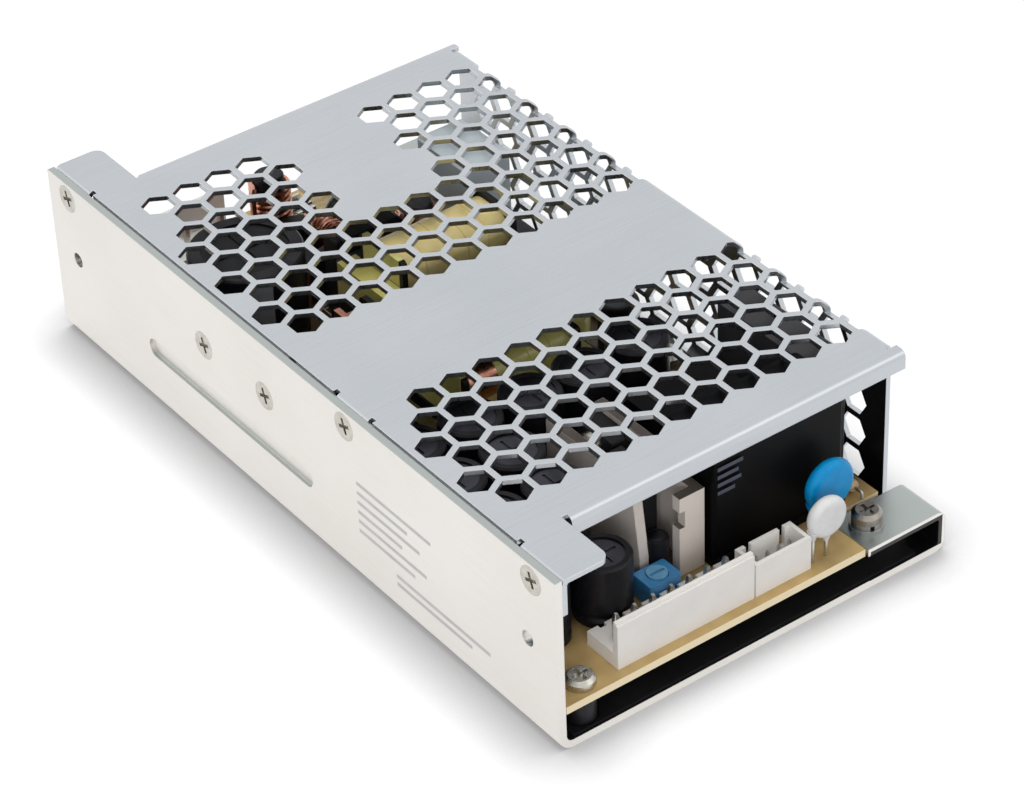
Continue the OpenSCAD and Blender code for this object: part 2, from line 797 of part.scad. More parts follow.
module front_heatsink() color("rosybrown") {
    inner = sink_b_x + sink_b_w - sink_t;
    difference() {
        union() {
            along_y(sink_b_y, sink_b_y + sink_t) difference() {
                rect2d([sink_b_x, bz], [sink_b_x + sink_b_w, bz + sink_b_h]);
                rect2d([sink_b_x - 1, bz + sink_b_h - 6.5], [sink_b_x + 1.2, bz + sink_b_h - 3]);
            }
            along_x(inner, inner + sink_t) {
                rect2d([sink_b_y, bz], [sink_b_y + sink_b_l, bz + sink_b_h]);
                rect2d([sink_b_y + 2 * sink_t, bz], [sink_b_y + sink_b_l, bz + sink_h]);
            }
        }
        bar_x(inner - 1, inner + sink_t + 1, rect_b_y, rect_hole_z, screw_r);
    }
}

// Rectifier package with its fixing hole, between two planes across X, with three leads
module rectifier(x0, x1, y) {
    difference() {
        along_x(x0, x1) translate([y, rect_z + rect_h / 2]) round2d(rect_w, rect_h, 0.6);
        bar_x(x0 - 1, x1 + 1, y, rect_hole_z, clear_r);
    }
    for (i = [-1, 0, 1]) translate([(x0 + x1) / 2, y + i * 2.54, bz])
        cylinder(r = lead_r, h = rect_z - bz + eps);
}

module rectifiers() color([0.15, 0.15, 0.16]) {
    rectifier(sink_a_x + sink_t, sink_a_x + sink_t + rect_t, rect_a_y);
    inner = sink_b_x + sink_b_w - sink_t;
    rectifier(inner - rect_t, inner, rect_b_y);
}

module rectifier_screws() color("lightgrey") {
    translate([sink_a_x + sink_t + rect_t, rect_a_y, rect_hole_z]) rotate([0, 90, 0])
        pan_screw(rect_t + sink_t);
    translate([sink_b_x + sink_b_w - sink_t - rect_t, rect_b_y, rect_hole_z]) rotate([0, -90, 0])
        pan_screw(rect_t + sink_t);
}

// Moulded caps on wider base plates, each with a sealed vent
module relays() color([0.1, 0.1, 0.11]) {
    for (m = relay_at) translate([m[0], m[1], bz]) difference() {
        union() {
            translate([m[2] / 2, m[3] / 2, 0]) linear_extrude(m[4]) round2d(m[2], m[3], 0.8);
            translate([-0.4, -0.4, 0]) cube([m[2] + 0.8, m[3] + 0.8, 1.5]);
        }
        translate([2, 2, m[4] - 0.3]) cylinder(d = 1.5, h = 1);
    }
}

// Tall moulded capacitor on two low feet
module box_capacitor() color([0.25, 0.25, 0.27]) {
    translate([box_x + box_w / 2, box_y + box_d / 2, bz]) difference() {
        linear_extrude(box_h) round2d(box_w, box_d, 0.8);
        cube([box_w + 1, box_d - 6, 1], center = true);
    }
}

// Ferrite frame around a wound bobbin, standing at the height of its middle
module e_core(m) {
    yoke = m[5] * 0.4 * us;
    len = m[2] + 2 * flange_t;
    wid = m[3] + 2 * flange_lip + 2 * gap;
    translate([m[0], m[1], bz + (m[4] - m[5]) / 2]) linear_extrude(m[5]) difference() {
        round2d(len + 2 * yoke, wid + yoke, 1);
        square([len, wid], center = true);
    }
}

// Two end flanges of a bobbin
module e_bobbin(m) {
    for (s = [-1, 1]) translate([m[0] + s * (m[2] + flange_t) / 2, 0, 0])
        along_x(-flange_t / 2, flange_t / 2) translate([m[1], bz + (m[4] + flange_lip) / 2])
            round2d(m[3] + 2 * flange_lip, m[4] + flange_lip, 1);
}

// Taped winding between the flanges
module e_winding(m) {
    along_x(m[0] - m[2] / 2, m[0] + m[2] / 2) translate([m[1], bz + m[4] / 2])
        round2d(m[3], m[4], 4 * m[3] / 17);
}

module transformer_core() color([0.2, 0.2, 0.21]) e_core(transformer);

module transformer_bobbin() color([0.12, 0.12, 0.12]) e_bobbin(transformer);

module transformer_winding() color("khaki") e_winding(transformer);

module choke_core() color([0.2, 0.2, 0.21]) e_core(choke);

module choke_bobbin() color([0.12, 0.12, 0.12]) e_bobbin(choke);

module choke_winding() color("khaki") e_winding(choke);

module standby_core() color([0.2, 0.2, 0.21]) e_core(standby);

module standby_bobbin() color([0.12, 0.12, 0.12]) e_bobbin(standby);

module standby_winding() color("khaki") e_winding(standby);

// Ring of the common-mode choke, on its two windings
module line_choke_core() color([0.22, 0.22, 0.23]) {
    translate([line_choke_at[0], line_choke_at[1], bz + line_wire_t]) difference() {
        cylinder(r = line_choke_r, h = line_choke_h);
        translate([0, 0, -1]) cylinder(r = line_choke_bore, h = line_choke_h + 2);
    }
}

module line_choke_windings() color("peru") {
    a = 110;
    translate([line_choke_at[0], line_choke_at[1], bz]) difference() {
        for (s = [0, 180]) rotate([0, 0, s - a / 2]) rotate_extrude(angle = a) rect2d(
            [line_choke_bore - line_wire_t, 0],
            [line_choke_r + line_wire_t, line_choke_h + 2 * line_wire_t]);
        translate([0, 0, line_wire_t]) difference() {
            cylinder(r = line_choke_r, h = line_choke_h);
            translate([0, 0, -1]) cylinder(r = line_choke_bore, h = line_choke_h + 2);
        }
    }
}

module film_capacitor() color("lightsteelblue") {
    translate([film_at[0], film_at[1], bz]) difference() {
        linear_extrude(film_h) round2d(film_w, film_d, 0.8);
        translate([0, 0, -eps]) cube([film_w - 2, film_d + 2, 1], center = true);
    }
}

module bridge_rectifier() color([0.14, 0.14, 0.15]) {
    translate([bridge_at[0], bridge_at[1], bz]) along_y(-bridge_t / 2, bridge_t / 2) difference() {
        translate([0, bridge_h / 2]) round2d(bridge_w, bridge_h, 0.6);
        translate([bridge_w / 2, bridge_h]) rotate(45) square(3, center = true);
    }
}

module fuse_tube() color("azure", 0.6) {
    translate(fuse_at) rotate([0, 90, 0])
        cylinder(r = fuse_r - 0.2, h = fuse_l - 2 * fuse_cap, center = true);
}

module fuse_ends() color("silver") {
    for (s = [-1, 1]) translate([fuse_at[0] + s * (fuse_l - fuse_cap) / 2, fuse_at[1], fuse_at[2]])
        rotate([0, 90, 0]) cylinder(r = fuse_r, h = fuse_cap, center = true);
}

// Spring clips: two side leaves and a floor under each fuse end
module fuse_clips() color("lightgrey") {
    for (s = [-1, 1]) translate([fuse_at[0] + s * (fuse_l - fuse_cap) / 2, fuse_at[1], 0])
        along_x(-fuse_cap / 2 + 0.4, fuse_cap / 2 - 0.4) {
            for (m = [-1, 1]) translate([m * (fuse_r + clip_t / 2), (bz + fuse_at[2] + fuse_r) / 2])
                square([clip_t, fuse_at[2] + fuse_r - bz], center = true);
            rect2d([-fuse_r - clip_t / 2, bz], [fuse_r + clip_t / 2, bz + clip_t]);
            rect2d([-clip_t, bz], [clip_t, fuse_at[2] - fuse_r]);
        }
}

module controllers() color([0.13, 0.13, 0.14]) {
    for (p = controller_at) translate([p[0], p[1], bz]) difference() {
        linear_extrude(3.6) round2d(4.6 * us, 6.4 * us, 0.3);
        translate([0, 2.2 * us, 3.6]) cylinder(r = 0.5, h = 0.6, center = true);
    }
}

chassis();
cover();
cover_screws();
device_screws();
device_nuts();
device_pads();
power_transistors();
transistor_leads();
insulating_film();
standoffs();
circuit_board();
board_screws();
earth_screw();
earth_washer();
lock_washer();
output_header();
output_pins();
signal_header();
signal_pins();
surge_disc();
blue_disc();
disc_leads();
trimmer_body();
trimmer_rotor();
cap_cans();
cap_sleeves();
slanted_heatsink();
front_heatsink();
rectifiers();
rectifier_screws();
relays();
box_capacitor();
transformer_core();
transformer_bobbin();
transformer_winding();
choke_core();
choke_bobbin();
choke_winding();
standby_core();
standby_bobbin();
standby_winding();
bulk_can();
bulk_sleeve();
line_choke_core();
line_choke_windings();
film_capacitor();
bridge_rectifier();
fuse_tube();
fuse_ends();
fuse_clips();
thermistor();
controllers();
input_header();
input_pins();
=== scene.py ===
"""Looks for a battery backup power supply in a folded, perforated metal case.

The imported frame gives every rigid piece. This script dresses those pieces and adds the fine
parts that the case and the board carry. Lengths are in millimetres, apart from the places and
sizes of the lights and the floor, which are in metres.
"""

import logging
import math
from dataclasses import dataclass, field
from enum import Enum
from typing import Any, Iterable, Protocol, Sequence

import bmesh
import bpy
from mathutils import Matrix, Vector


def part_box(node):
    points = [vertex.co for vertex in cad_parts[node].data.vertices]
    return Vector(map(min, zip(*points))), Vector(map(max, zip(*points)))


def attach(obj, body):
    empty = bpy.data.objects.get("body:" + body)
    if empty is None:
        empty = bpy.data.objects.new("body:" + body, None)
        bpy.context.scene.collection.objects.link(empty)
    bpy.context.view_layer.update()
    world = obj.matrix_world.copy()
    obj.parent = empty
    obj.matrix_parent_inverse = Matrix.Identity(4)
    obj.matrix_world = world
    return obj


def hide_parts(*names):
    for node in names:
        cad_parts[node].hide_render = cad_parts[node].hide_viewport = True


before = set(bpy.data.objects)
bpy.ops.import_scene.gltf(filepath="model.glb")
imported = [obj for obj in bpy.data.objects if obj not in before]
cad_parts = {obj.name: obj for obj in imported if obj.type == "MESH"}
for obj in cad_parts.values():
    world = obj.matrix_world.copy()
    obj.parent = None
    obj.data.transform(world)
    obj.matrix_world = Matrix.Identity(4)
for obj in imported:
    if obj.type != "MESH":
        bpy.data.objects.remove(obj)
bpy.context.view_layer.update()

Tree = bpy.types.NodeTree
Node = bpy.types.Node
Socket = bpy.types.NodeSocket

LOG = logging.getLogger("supply")
METRES = 0.001
SUPPLY = "supply"
WHITE = (1.0, 1.0, 1.0, 1.0)
# Faces that meet at less than this angle are shaded as one.
SMOOTH_ANGLE = math.radians(38)


class Builder(Protocol):
    """Anything that adds its own part of the scene."""

    def build(self) -> None:
        """Adds it."""


class Axis(Enum):
    """How a sheet was rolled or brushed: the spacing of its marks along X, Y and Z."""

    ACROSS = (14.0, 0.3, 14.0)
    ALONG_WALL = (14.0, 16.0, 0.3)


def linear(code: str) -> tuple[float, float, float, float]:
    """Turns an sRGB hex colour to linear light.

    Args:
        code: colour written as "#RRGGBB".

    Returns:
        Linear red, green and blue, with full alpha.
    """
    parts = [int(code[i:i + 2], 16) / 255 for i in (1, 3, 5)]
    red, green, blue = [c / 12.92 if c <= 0.04045 else ((c + 0.055) / 1.055) ** 2.4 for c in parts]
    return red, green, blue, 1.0


def per_mm(size: float) -> float:
    """Gives the texture scale of a pattern whose marks are ``size`` millimetres apart."""
    return 1.0 / (size * METRES)


def add(tree: Tree, kind: str, links: dict[Any, Any] | None = None, **settings: Any) -> Node:
    """Adds a node with its settings, values and links.

    Args:
        tree: node tree that takes the node.
        kind: node type.
        links: input name or index to a value, or to the output that feeds it.
        **settings: properties of the node itself.

    Returns:
        The new node.
    """
    made = tree.nodes.new(kind)
    for key, value in settings.items():
        setattr(made, key, value)
    for key, value in (links or {}).items():
        if isinstance(value, Socket):
            tree.links.new(value, made.inputs[key])
        else:
            made.inputs[key].default_value = value
    return made


def noise(tree: Tree, place: Socket, size: float, detail: float) -> Socket:
    """Gives a cloudy pattern with marks ``size`` millimetres apart."""
    return add(tree, "ShaderNodeTexNoise", {"Vector": place, "Scale": per_mm(size), "Detail": detail}).outputs[0]


def blend(tree: Tree, first: Socket, second: Socket, share: float) -> Socket:
    """Mixes two patterns, with ``share`` of the second."""
    return add(tree, "ShaderNodeMix", {0: share, 2: first, 3: second}).outputs[0]


def mix(tree: Tree, share: Any, first: Any, second: Any) -> Socket:
    """Mixes two colours, with ``share`` of the second."""
    return add(tree, "ShaderNodeMix", {0: share, 6: first, 7: second}, data_type="RGBA").outputs[2]


def ramp(tree: Tree, value: Socket, low: float, high: float, start: float = 0.0, end: float = 1.0) -> Socket:
    """Carries a value from the range ``low`` to ``high`` over to ``start`` to ``end``."""
    return add(tree, "ShaderNodeMapRange", {0: value, 1: low, 2: high, 3: start, 4: end}).outputs[0]


def maths(tree: Tree, operation: str, first: Any, second: Any = 0.0) -> Socket:
    """Works out one operation on one or two values."""
    return add(tree, "ShaderNodeMath", {0: first, 1: second}, operation=operation).outputs[0]


def bare_tree(owner: Any) -> Tree:
    """Empties the node tree of a new material or world.

    Args:
        owner: the material or world.

    Returns:
        Its node tree.
    """
    owner.use_nodes = True
    owner.node_tree.nodes.clear()
    return owner.node_tree


def put(name: str, data: Any) -> bpy.types.Object:
    """Puts a mesh, light or camera in the scene.

    Args:
        name: name of the object.
        data: what it holds.

    Returns:
        The object.
    """
    made = bpy.data.objects.new(name, data)
    bpy.context.scene.collection.objects.link(made)
    return made


@dataclass(frozen=True)
class Finish:
    """A surface, named for its material and how it was made."""

    name: str
    tint: str
    shade: str
    rough: float
    metallic: float = 0.0
    mottle: float = 9.0
    grit: float = 0.25
    relief: float = 0.012
    edge: float = 0.15
    sheen_level: float = field(default=0.5, kw_only=True)

    # Range in which the patterns mostly lie, and how far the gloss swings with them.
    DARK, PALE = 0.3, 0.7
    SMOOTHER, ROUGHER = 0.86, 1.16
    # Share of the grit in the colour, and strength of the relief.
    GRIT_SHARE, BUMP = 0.3, 0.6

    def material(self) -> bpy.types.Material:
        """Makes the material on first use.

        Returns:
            The material.
        """
        found = bpy.data.materials.get(self.name)
        if found:
            return found
        made = bpy.data.materials.new(self.name)
        tree = bare_tree(made)
        shader = add(tree, "ShaderNodeBsdfPrincipled",
                     {"Metallic": self.metallic, "Specular IOR Level": self.sheen_level})
        add(tree, "ShaderNodeOutputMaterial", {"Surface": shader.outputs["BSDF"]})
        self.paint(tree, shader)
        return made

    def paint(self, tree: Tree, shader: Node) -> None:
        """Gives cloudy colour, fine grit in gloss and relief, and softened edges.

        Args:
            tree: node tree of the material.
            shader: principled shader to feed.
        """
        place = add(tree, "ShaderNodeTexCoord").outputs["Object"]
        cloud = noise(tree, place, self.mottle, 3.0)
        grit = noise(tree, place, self.grit, 2.0)
        self.lay(tree, shader, blend(tree, cloud, grit, self.GRIT_SHARE), grit)

    def lay(self, tree: Tree, shader: Node, tone: Socket, height: Socket) -> Socket:
        """Lays colour, gloss and relief from two patterns on the shader.

        Args:
            tree: node tree of the material.
            shader: principled shader to feed.
            tone: pattern that runs from shade to tint.
            height: pattern for the relief and the change of gloss.

        Returns:
            The output that carries the base colour.
        """
        colour = mix(tree, ramp(tree, tone, self.DARK, self.PALE), linear(self.shade), linear(self.tint))
        gloss = ramp(tree, height, self.DARK, self.PALE, self.rough * self.SMOOTHER,
                     min(1.0, self.rough * self.ROUGHER))
        bump = add(tree, "ShaderNodeBump", {"Strength": self.BUMP, "Distance": self.relief * METRES, "Height": height,
                                            "Normal": self.softened(tree)})
        for key, value in (("Base Color", colour), ("Roughness", gloss), ("Normal", bump.outputs[0])):
            tree.links.new(value, shader.inputs[key])
        return colour

    def softened(self, tree: Tree) -> Socket:
        """Gives the surface's direction with its edges rounded."""
        return add(tree, "ShaderNodeBevel", {"Radius": self.edge * METRES}, samples=4).outputs[0]


@dataclass(frozen=True)
class RolledSheet(Finish):
    """Sheet metal with rolling marks in one direction, paler cut edges and painted black shade inside.

    The paler cut edges are in part a painted highlight. Faces that look up can take a darker colour, which is
    painted shade. The painted black shade covers every face inside one of the listed boxes, each given by its
    lowest and highest corners.
    """

    rolled: Axis = Axis.ACROSS
    # Colour of cut edges; the pale default is in part a painted highlight along the rims.
    cut: str = "#F2F3F4"
    # Darker colour for faces that look up: painted shade, for the dimmer light they get.
    level: str | None = None
    # Black painted as shade on every face inside one of the boxes that follow.
    inner_shade: str = "#0B0B0D"
    shade_boxes: tuple[tuple[tuple[float, float, float], tuple[float, float, float]], ...] = ()

    # Share of the clouds in the colour, and how much each finer layer of the marks shows.
    CLOUD_SHARE, FINER = 0.45, 0.65
    # How far a face looks up where the painted shade of level faces starts and where it is full.
    LEVEL_FROM, LEVEL_FULL = 0.4, 0.9
    # How near the rounded direction is to the face's own where a cut edge is full and where it ends.
    CUT_FULL, CUT_END, CUT_SHARE = 0.78, 0.99, 0.75

    def paint(self, tree: Tree, shader: Node) -> None:
        """Draws the rolling marks, slow clouds and cut edges, whose pale colour is in part a painted highlight.

        Args:
            tree: node tree of the material.
            shader: principled shader to feed.
        """
        place = add(tree, "ShaderNodeTexCoord").outputs["Object"]
        scale = [per_mm(size) for size in self.rolled.value]
        drawn = add(tree, "ShaderNodeMapping", {"Vector": place, "Scale": scale})
        streak = add(tree, "ShaderNodeTexNoise", {"Vector": drawn.outputs[0], "Scale": 1.0, "Detail": 4.0,
                                                  "Roughness": self.FINER}).outputs[0]
        cloud = noise(tree, place, self.mottle, 2.0)
        colour = self.lay(tree, shader, blend(tree, streak, cloud, self.CLOUD_SHARE), streak)
        face = add(tree, "ShaderNodeNewGeometry").outputs["Normal"]
        # Faces that look up are painted darker, as shade.
        if self.level:
            up = add(tree, "ShaderNodeSeparateXYZ", {0: face}).outputs[2]
            colour = mix(tree, ramp(tree, up, self.LEVEL_FROM, self.LEVEL_FULL), colour, linear(self.level))
        # Cut edges take their own colour; where it is paler, it is in part a painted highlight.
        turn = add(tree, "ShaderNodeVectorMath", {0: self.softened(tree), 1: face}, operation="DOT_PRODUCT")
        edge_share = ramp(tree, turn.outputs["Value"], self.CUT_FULL, self.CUT_END, self.CUT_SHARE, 0.0)
        bright = mix(tree, edge_share, colour, linear(self.cut))
        tree.links.new(bright, shader.inputs["Base Color"])
        if self.shade_boxes:
            self.line(tree, shader, place, bright)

    def line(self, tree: Tree, shader: Node, place: Socket, bare: Socket) -> None:
        """Paints the inside of the sheet dull black, as painted shade.

        Args:
            tree: node tree of the material.
            shader: principled shader to feed.
            place: output with the place on the piece.
            bare: output with the colour of the bare metal.
        """
        inside: Any = 0.0
        for low, high in self.shade_boxes:
            middle = [(a + b) / 2 for a, b in zip(low, high)]
            half = [(b - a) / 2 for a, b in zip(low, high)]
            boxed = add(tree, "ShaderNodeMapping", {"Vector": place, "Scale": [per_mm(reach) for reach in half],
                                                    "Location": [-m / reach for m, reach in zip(middle, half)]})
            sides = add(tree, "ShaderNodeVectorMath", {0: boxed.outputs[0]}, operation="ABSOLUTE")
            x, y, z = add(tree, "ShaderNodeSeparateXYZ", {0: sides.outputs[0]}).outputs
            furthest = maths(tree, "MAXIMUM", maths(tree, "MAXIMUM", x, y), z)
            inside = maths(tree, "MAXIMUM", maths(tree, "LESS_THAN", furthest, 1.0), inside)
        # Faces inside a box are painted matt black as shade and lose their metal.
        tree.links.new(mix(tree, inside, bare, linear(self.inner_shade)), shader.inputs["Base Color"])
        tree.links.new(maths(tree, "SUBTRACT", self.metallic, inside), shader.inputs["Metallic"])


@dataclass(frozen=True)
class Coated(Finish):
    """A finish under a clear skin: dipped epoxy, enamel, gloss moulding or shrunk sleeve."""

    coat: float = 0.5
    coat_rough: float = 0.12

    def paint(self, tree: Tree, shader: Node) -> None:
        """Paints the ground and sets the clear skin on the shader.

        Args:
            tree: node tree of the material.
            shader: principled shader to feed.
        """
        Finish.paint(self, tree, shader)
        shader.inputs["Coat Weight"].default_value = self.coat
        shader.inputs["Coat Roughness"].default_value = self.coat_rough


@dataclass(frozen=True)
class Laminate(Finish):
    """Pressed board: a faint woven ground, resin clouds, a paler sawn edge and a middle painted dark brown as shade.
    """

    sawn: str = "#FBEAC4"
    weave: float = 0.7
    # Dark brown painted over the board's middle as the shade under the cover, fading out towards its open ends.
    middle_shade: str = "#4A3B26"
    shade_end_from: float = 67.0
    shade_full_to: float = 61.0

    # A wave texture repeats about every 1/20 of its scale's unit.
    WAVES = 20
    # Share of the weave in the colour, and how far its threads wander.
    CLOTH_SHARE, WANDER = 0.25, 0.6
    # How far a face looks up or down where the sawn edge is full and where it ends.
    SAWN_FULL, SAWN_END = 0.2, 0.8

    def paint(self, tree: Tree, shader: Node) -> None:
        """Draws the weave on the flat faces, the painted shade over the middle and the pale fibres on the sawn edge.

        Args:
            tree: node tree of the material.
            shader: principled shader to feed.
        """
        place = add(tree, "ShaderNodeTexCoord").outputs["Object"]
        cloud = noise(tree, place, self.mottle, 4.0)
        thread = {"Vector": place, "Scale": per_mm(self.weave) / self.WAVES, "Distortion": self.WANDER}
        warp, weft = (add(tree, "ShaderNodeTexWave", thread, bands_direction=way).outputs["Fac"] for way in "XY")
        cloth = blend(tree, warp, weft, 0.5)
        colour = self.lay(tree, shader, blend(tree, cloud, cloth, self.CLOTH_SHARE), cloth)
        # The middle of the board, under the cover, is painted dark brown as shade.
        out = maths(tree, "ABSOLUTE", add(tree, "ShaderNodeSeparateXYZ", {0: place}).outputs[1])
        open_share = ramp(tree, out, self.shade_full_to * METRES, self.shade_end_from * METRES)
        colour = mix(tree, open_share, linear(self.middle_shade), colour)
        face = add(tree, "ShaderNodeNewGeometry").outputs["Normal"]
        side = maths(tree, "ABSOLUTE", add(tree, "ShaderNodeSeparateXYZ", {0: face}).outputs[2])
        pale = mix(tree, ramp(tree, side, self.SAWN_FULL, self.SAWN_END, 1.0, 0.0), colour, linear(self.sawn))
        tree.links.new(pale, shader.inputs["Base Color"])


@dataclass(frozen=True)
class ClearGlass(Finish):
    """Drawn glass tube: clear, with faint draw lines."""

    clear: float = 0.9
    ior: float = 1.5

    def paint(self, tree: Tree, shader: Node) -> None:
        """Sets clear glass with a slight change of gloss.

        Args:
            tree: node tree of the material.
            shader: principled shader to feed.
        """
        Finish.paint(self, tree, shader)
        shader.inputs["Transmission Weight"].default_value = self.clear
        shader.inputs["IOR"].default_value = self.ior


# Each finish gives its name, tint, shade, roughness and share of metal, then in millimetres the size of its clouds
# and grit, the depth of its relief and the radius of its edges, and, where it is coated, the coat and its roughness.

# Aluminium sheet, brushed along the wall and clear passivated: warm, nearly white, fine streaks.
CHASSIS = RolledSheet("brushed_aluminium_chassis", "#EAE7E2", "#DEDAD4", 0.36, 1.0, 30.0, relief=0.006, edge=0.25,
                      # The level colour is painted shade on the faces that look up.
                      rolled=Axis.ALONG_WALL, cut="#E2E1DF", level="#B2B8B6",
                      # These boxes, inside the base under the board and under the shelf, are painted black as shade.
                      shade_boxes=(((-41.0, -78.9, 1.45), (41.55, 78.9, 7.25)), ((25.5, -79.1, 1.45), (42.3, 79.1, 8.0))))
# Aluminium sheet as rolled: cooler and greyer than the chassis, soft clouds,
# bright punched edges that are in part a painted highlight.
COVER = RolledSheet("rolled_aluminium_cover", "#C8CCD0", "#BDC2C7", 0.30, 1.0, 26.0, relief=0.003, edge=0.2,
                    rolled=Axis.ACROSS,
                    # These boxes, the inside of the cover and the front of its right wall, are painted black as shade.
                    shade_boxes=(((-40.0, -66.25, 0.0), (40.5, 66.25, 35.65)), ((39.0, -66.25, 0.0), (42.05, -50.0, 35.65))))
# The same sheet where it is folded under the seam: dull, hardly polished.
SEAM = Finish("folded_aluminium_seam", "#C2C5C8", "#B4B7BA", 0.6, 0.3, 8.0, 0.3, 0.004, 0.1)
# Mill-finish aluminium plate: slightly warm and dull beside the case.
HEATSINK = RolledSheet("mill_aluminium_heatsink", "#EDE4DC", "#E0D6CD", 0.6, 0.1, 14.0, relief=0.008, edge=0.2,
                       # The level colour is painted shade: the faces that look up are drawn dark.
                       rolled=Axis.ACROSS, cut="#DDD6CF", level="#5E564F")
# Zinc-plated steel screws: bright, a little yellow, mottled by the plating.
SCREW = Finish("zinc_plated_screw", "#D2CFC6", "#B3AFA6", 0.28, 1.0, 1.6, 0.2, 0.006, 0.12)
# Passivated earth screw: warmer and duller than the others.
EARTH = Finish("passivated_zinc_screw", "#ABA59D", "#8C8780", 0.34, 1.0, 1.4, 0.2, 0.008, 0.12)
# Zinc-plated steel nuts and washers: greyer than the screws.
NUT = Finish("zinc_plated_nut", "#BDBDBB", "#9C9C9A", 0.32, 1.0, 1.8, 0.2, 0.006, 0.12)
# Tin-dipped copper and brass: soft white metal, slightly uneven.
TIN = Finish("tin_dipped_wire", "#DAD9D4", "#BEBDB8", 0.3, 1.0, 1.0, 0.25, 0.008, 0.06)
# Drawn aluminium can top: plain, drawn dark grey as painted shade, for tops that sit in shade.
SHADED_CAN = Finish("shaded_aluminium_can", "#55555C", "#44454B", 0.36, 1.0, 3.0, 0.3, 0.006, 0.1)
# The same can drawn near black on the large capacitor: painted shade, for its top in deep shade under the cover.
SHADE_BLACK_CAN = Finish("shade_black_can", "#232327", "#18181B", 0.4, 0.3, 4.0, 0.3, 0.006, 0.1, sheen_level=0.2)
# Shrunk polymer sleeve: black, glossy, slightly wavy.
SLEEVE = Coated("shrunk_black_sleeve", "#1C1C21", "#131317", 0.38, 0.0, 6.0, 1.4, 0.02, 0.12, 0.08, 0.2,
                sheen_level=0.2)
# Printed stripe on the sleeve: grey ink.
STRIPE = Finish("printed_grey_stripe", "#8E9096", "#7C7E85", 0.5, 0.0, 3.0, 0.3, 0.004, 0.02)
# Pressed laminate board: tan resin with a faint weave and a pale sawn edge.
BOARD = Laminate("pressed_tan_laminate", "#C9AC76", "#B6975F", 0.52, 0.0, 7.0, relief=0.006, edge=0.1)
# Screened ink on the board: soft white lines.
INK = Finish("screened_white_ink", "#E9E6DC", "#DAD6CA", 0.6, 0.0, 4.0, 0.2, 0.004, 0.01)
# Polyester film on the base: black, with a satin face.
FILM = Finish("cast_black_film", "#1B1B1E", "#131315", 0.45, 0.0, 12.0, 0.6, 0.004, 0.05, sheen_level=0.2)
# Moulded natural nylon: off-white, faintly translucent, fine spark grain.
NYLON = Finish("moulded_nylon", "#F2EFEB", "#E9E6E2", 0.46, 0.0, 5.0, 0.18, 0.008, 0.18)
# Blue dipped epoxy: thick, glossy, gently lumpy.
BLUE_EPOXY = Coated("dipped_blue_epoxy", "#009BDC", "#008ACA", 0.36, 0.0, 2.4, 1.1, 0.05, 0.1, 0.1, 0.1,
                    sheen_level=0.25)
# Pale dipped epoxy on the surge suppressor.
PALE_EPOXY = Coated("dipped_pale_epoxy", "#E6E6E6", "#D8D8D9", 0.42, 0.0, 2.2, 1.0, 0.04, 0.1, 0.3, 0.2)
# Dark green dipped epoxy on the thermistor.
GREEN_EPOXY = Coated("dipped_green_epoxy", "#34483A", "#26362B", 0.36, 0.0, 2.2, 1.0, 0.05, 0.1, 0.5, 0.12)
# Tan dipped ceramic of the small discs.
TAN_EPOXY = Coated("dipped_tan_ceramic", "#B9793B", "#9C612B", 0.4, 0.0, 1.6, 0.8, 0.04, 0.1, 0.3, 0.2)
# Moulded blue polyester of the trimmer.
BLUE_MOULDING = Coated("moulded_blue_polyester", "#4C9DD8", "#3D8AC5", 0.38, 0.0, 2.0, 0.2, 0.008, 0.12, 0.3, 0.2)
# Lighter blue nylon of its turning part.
LIGHT_BLUE = Coated("moulded_light_blue_nylon", "#7DBBE2", "#69A9D4", 0.4, 0.0, 1.5, 0.2, 0.006, 0.1, 0.3, 0.2)
# Moulded epoxy packages: dark grey-black, dull, sandy.
PACKAGE = Finish("moulded_black_epoxy", "#212124", "#17171A", 0.55, 0.0, 3.0, 0.14, 0.01, 0.15, sheen_level=0.25)
# Moulded relay cap: black polyester with a soft gloss.
RELAY = Coated("moulded_black_polyester", "#0D0D0F", "#09090B", 0.42, 0.0, 5.0, 0.2, 0.008, 0.25, 0.0, 0.2,
               sheen_level=0.08)
# Sintered ferrite, ground: dark grey with a slight metallic speckle.
FERRITE = Finish("ground_ferrite", "#3C3C40", "#29292D", 0.5, 0.25, 1.2, 0.2, 0.012, 0.25, sheen_level=0.3)
# Moulded phenolic bobbin: dull black.
BOBBIN = Finish("moulded_phenolic", "#1F1E1A", "#161512", 0.5, 0.0, 3.0, 0.2, 0.01, 0.15, sheen_level=0.2)
# Polyester winding tape: glossy yellow film with lengthwise creases.
TAPE = Coated("yellow_polyester_tape", "#FCEBA8", "#F4DC8C", 0.34, 0.0, 4.0, 0.9, 0.02, 0.05, 0.4, 0.15)
# The same yellow tape drawn greener and duller: painted shade, for tape that lies in shade under the cover.
SHADED_TAPE = Coated("shaded_polyester_tape", "#EAE28A", "#DAD27A", 0.34, 0.0, 4.0, 0.9, 0.02, 0.05, 0.4, 0.15)
# Enamelled copper wire: pink-brown metal under a clear skin.
COPPER = Coated("enamelled_copper_wire", "#D89A80", "#BC7C64", 0.3, 1.0, 1.5, 0.4, 0.006, 0.02, 0.6, 0.1)
# Moulded box of the film capacitor: pale blue-grey.
FILM_BOX = Finish("moulded_grey_polyester", "#CDD8DE", "#BECAD1", 0.44, 0.0, 5.0, 0.18, 0.008, 0.3)
# Moulded box of the tall capacitor: dark grey, dull.
DARK_BOX = Finish("moulded_dark_grey_polyester", "#46464A", "#3A3A3E", 0.5, 0.0, 5.0, 0.18, 0.008, 0.3,
                  sheen_level=0.25)
# Blackened steel standoffs.
BLACK_STEEL = Finish("black_oxide_steel", "#2C2C2F", "#1F1F22", 0.45, 0.6, 1.8, 0.2, 0.006, 0.12)
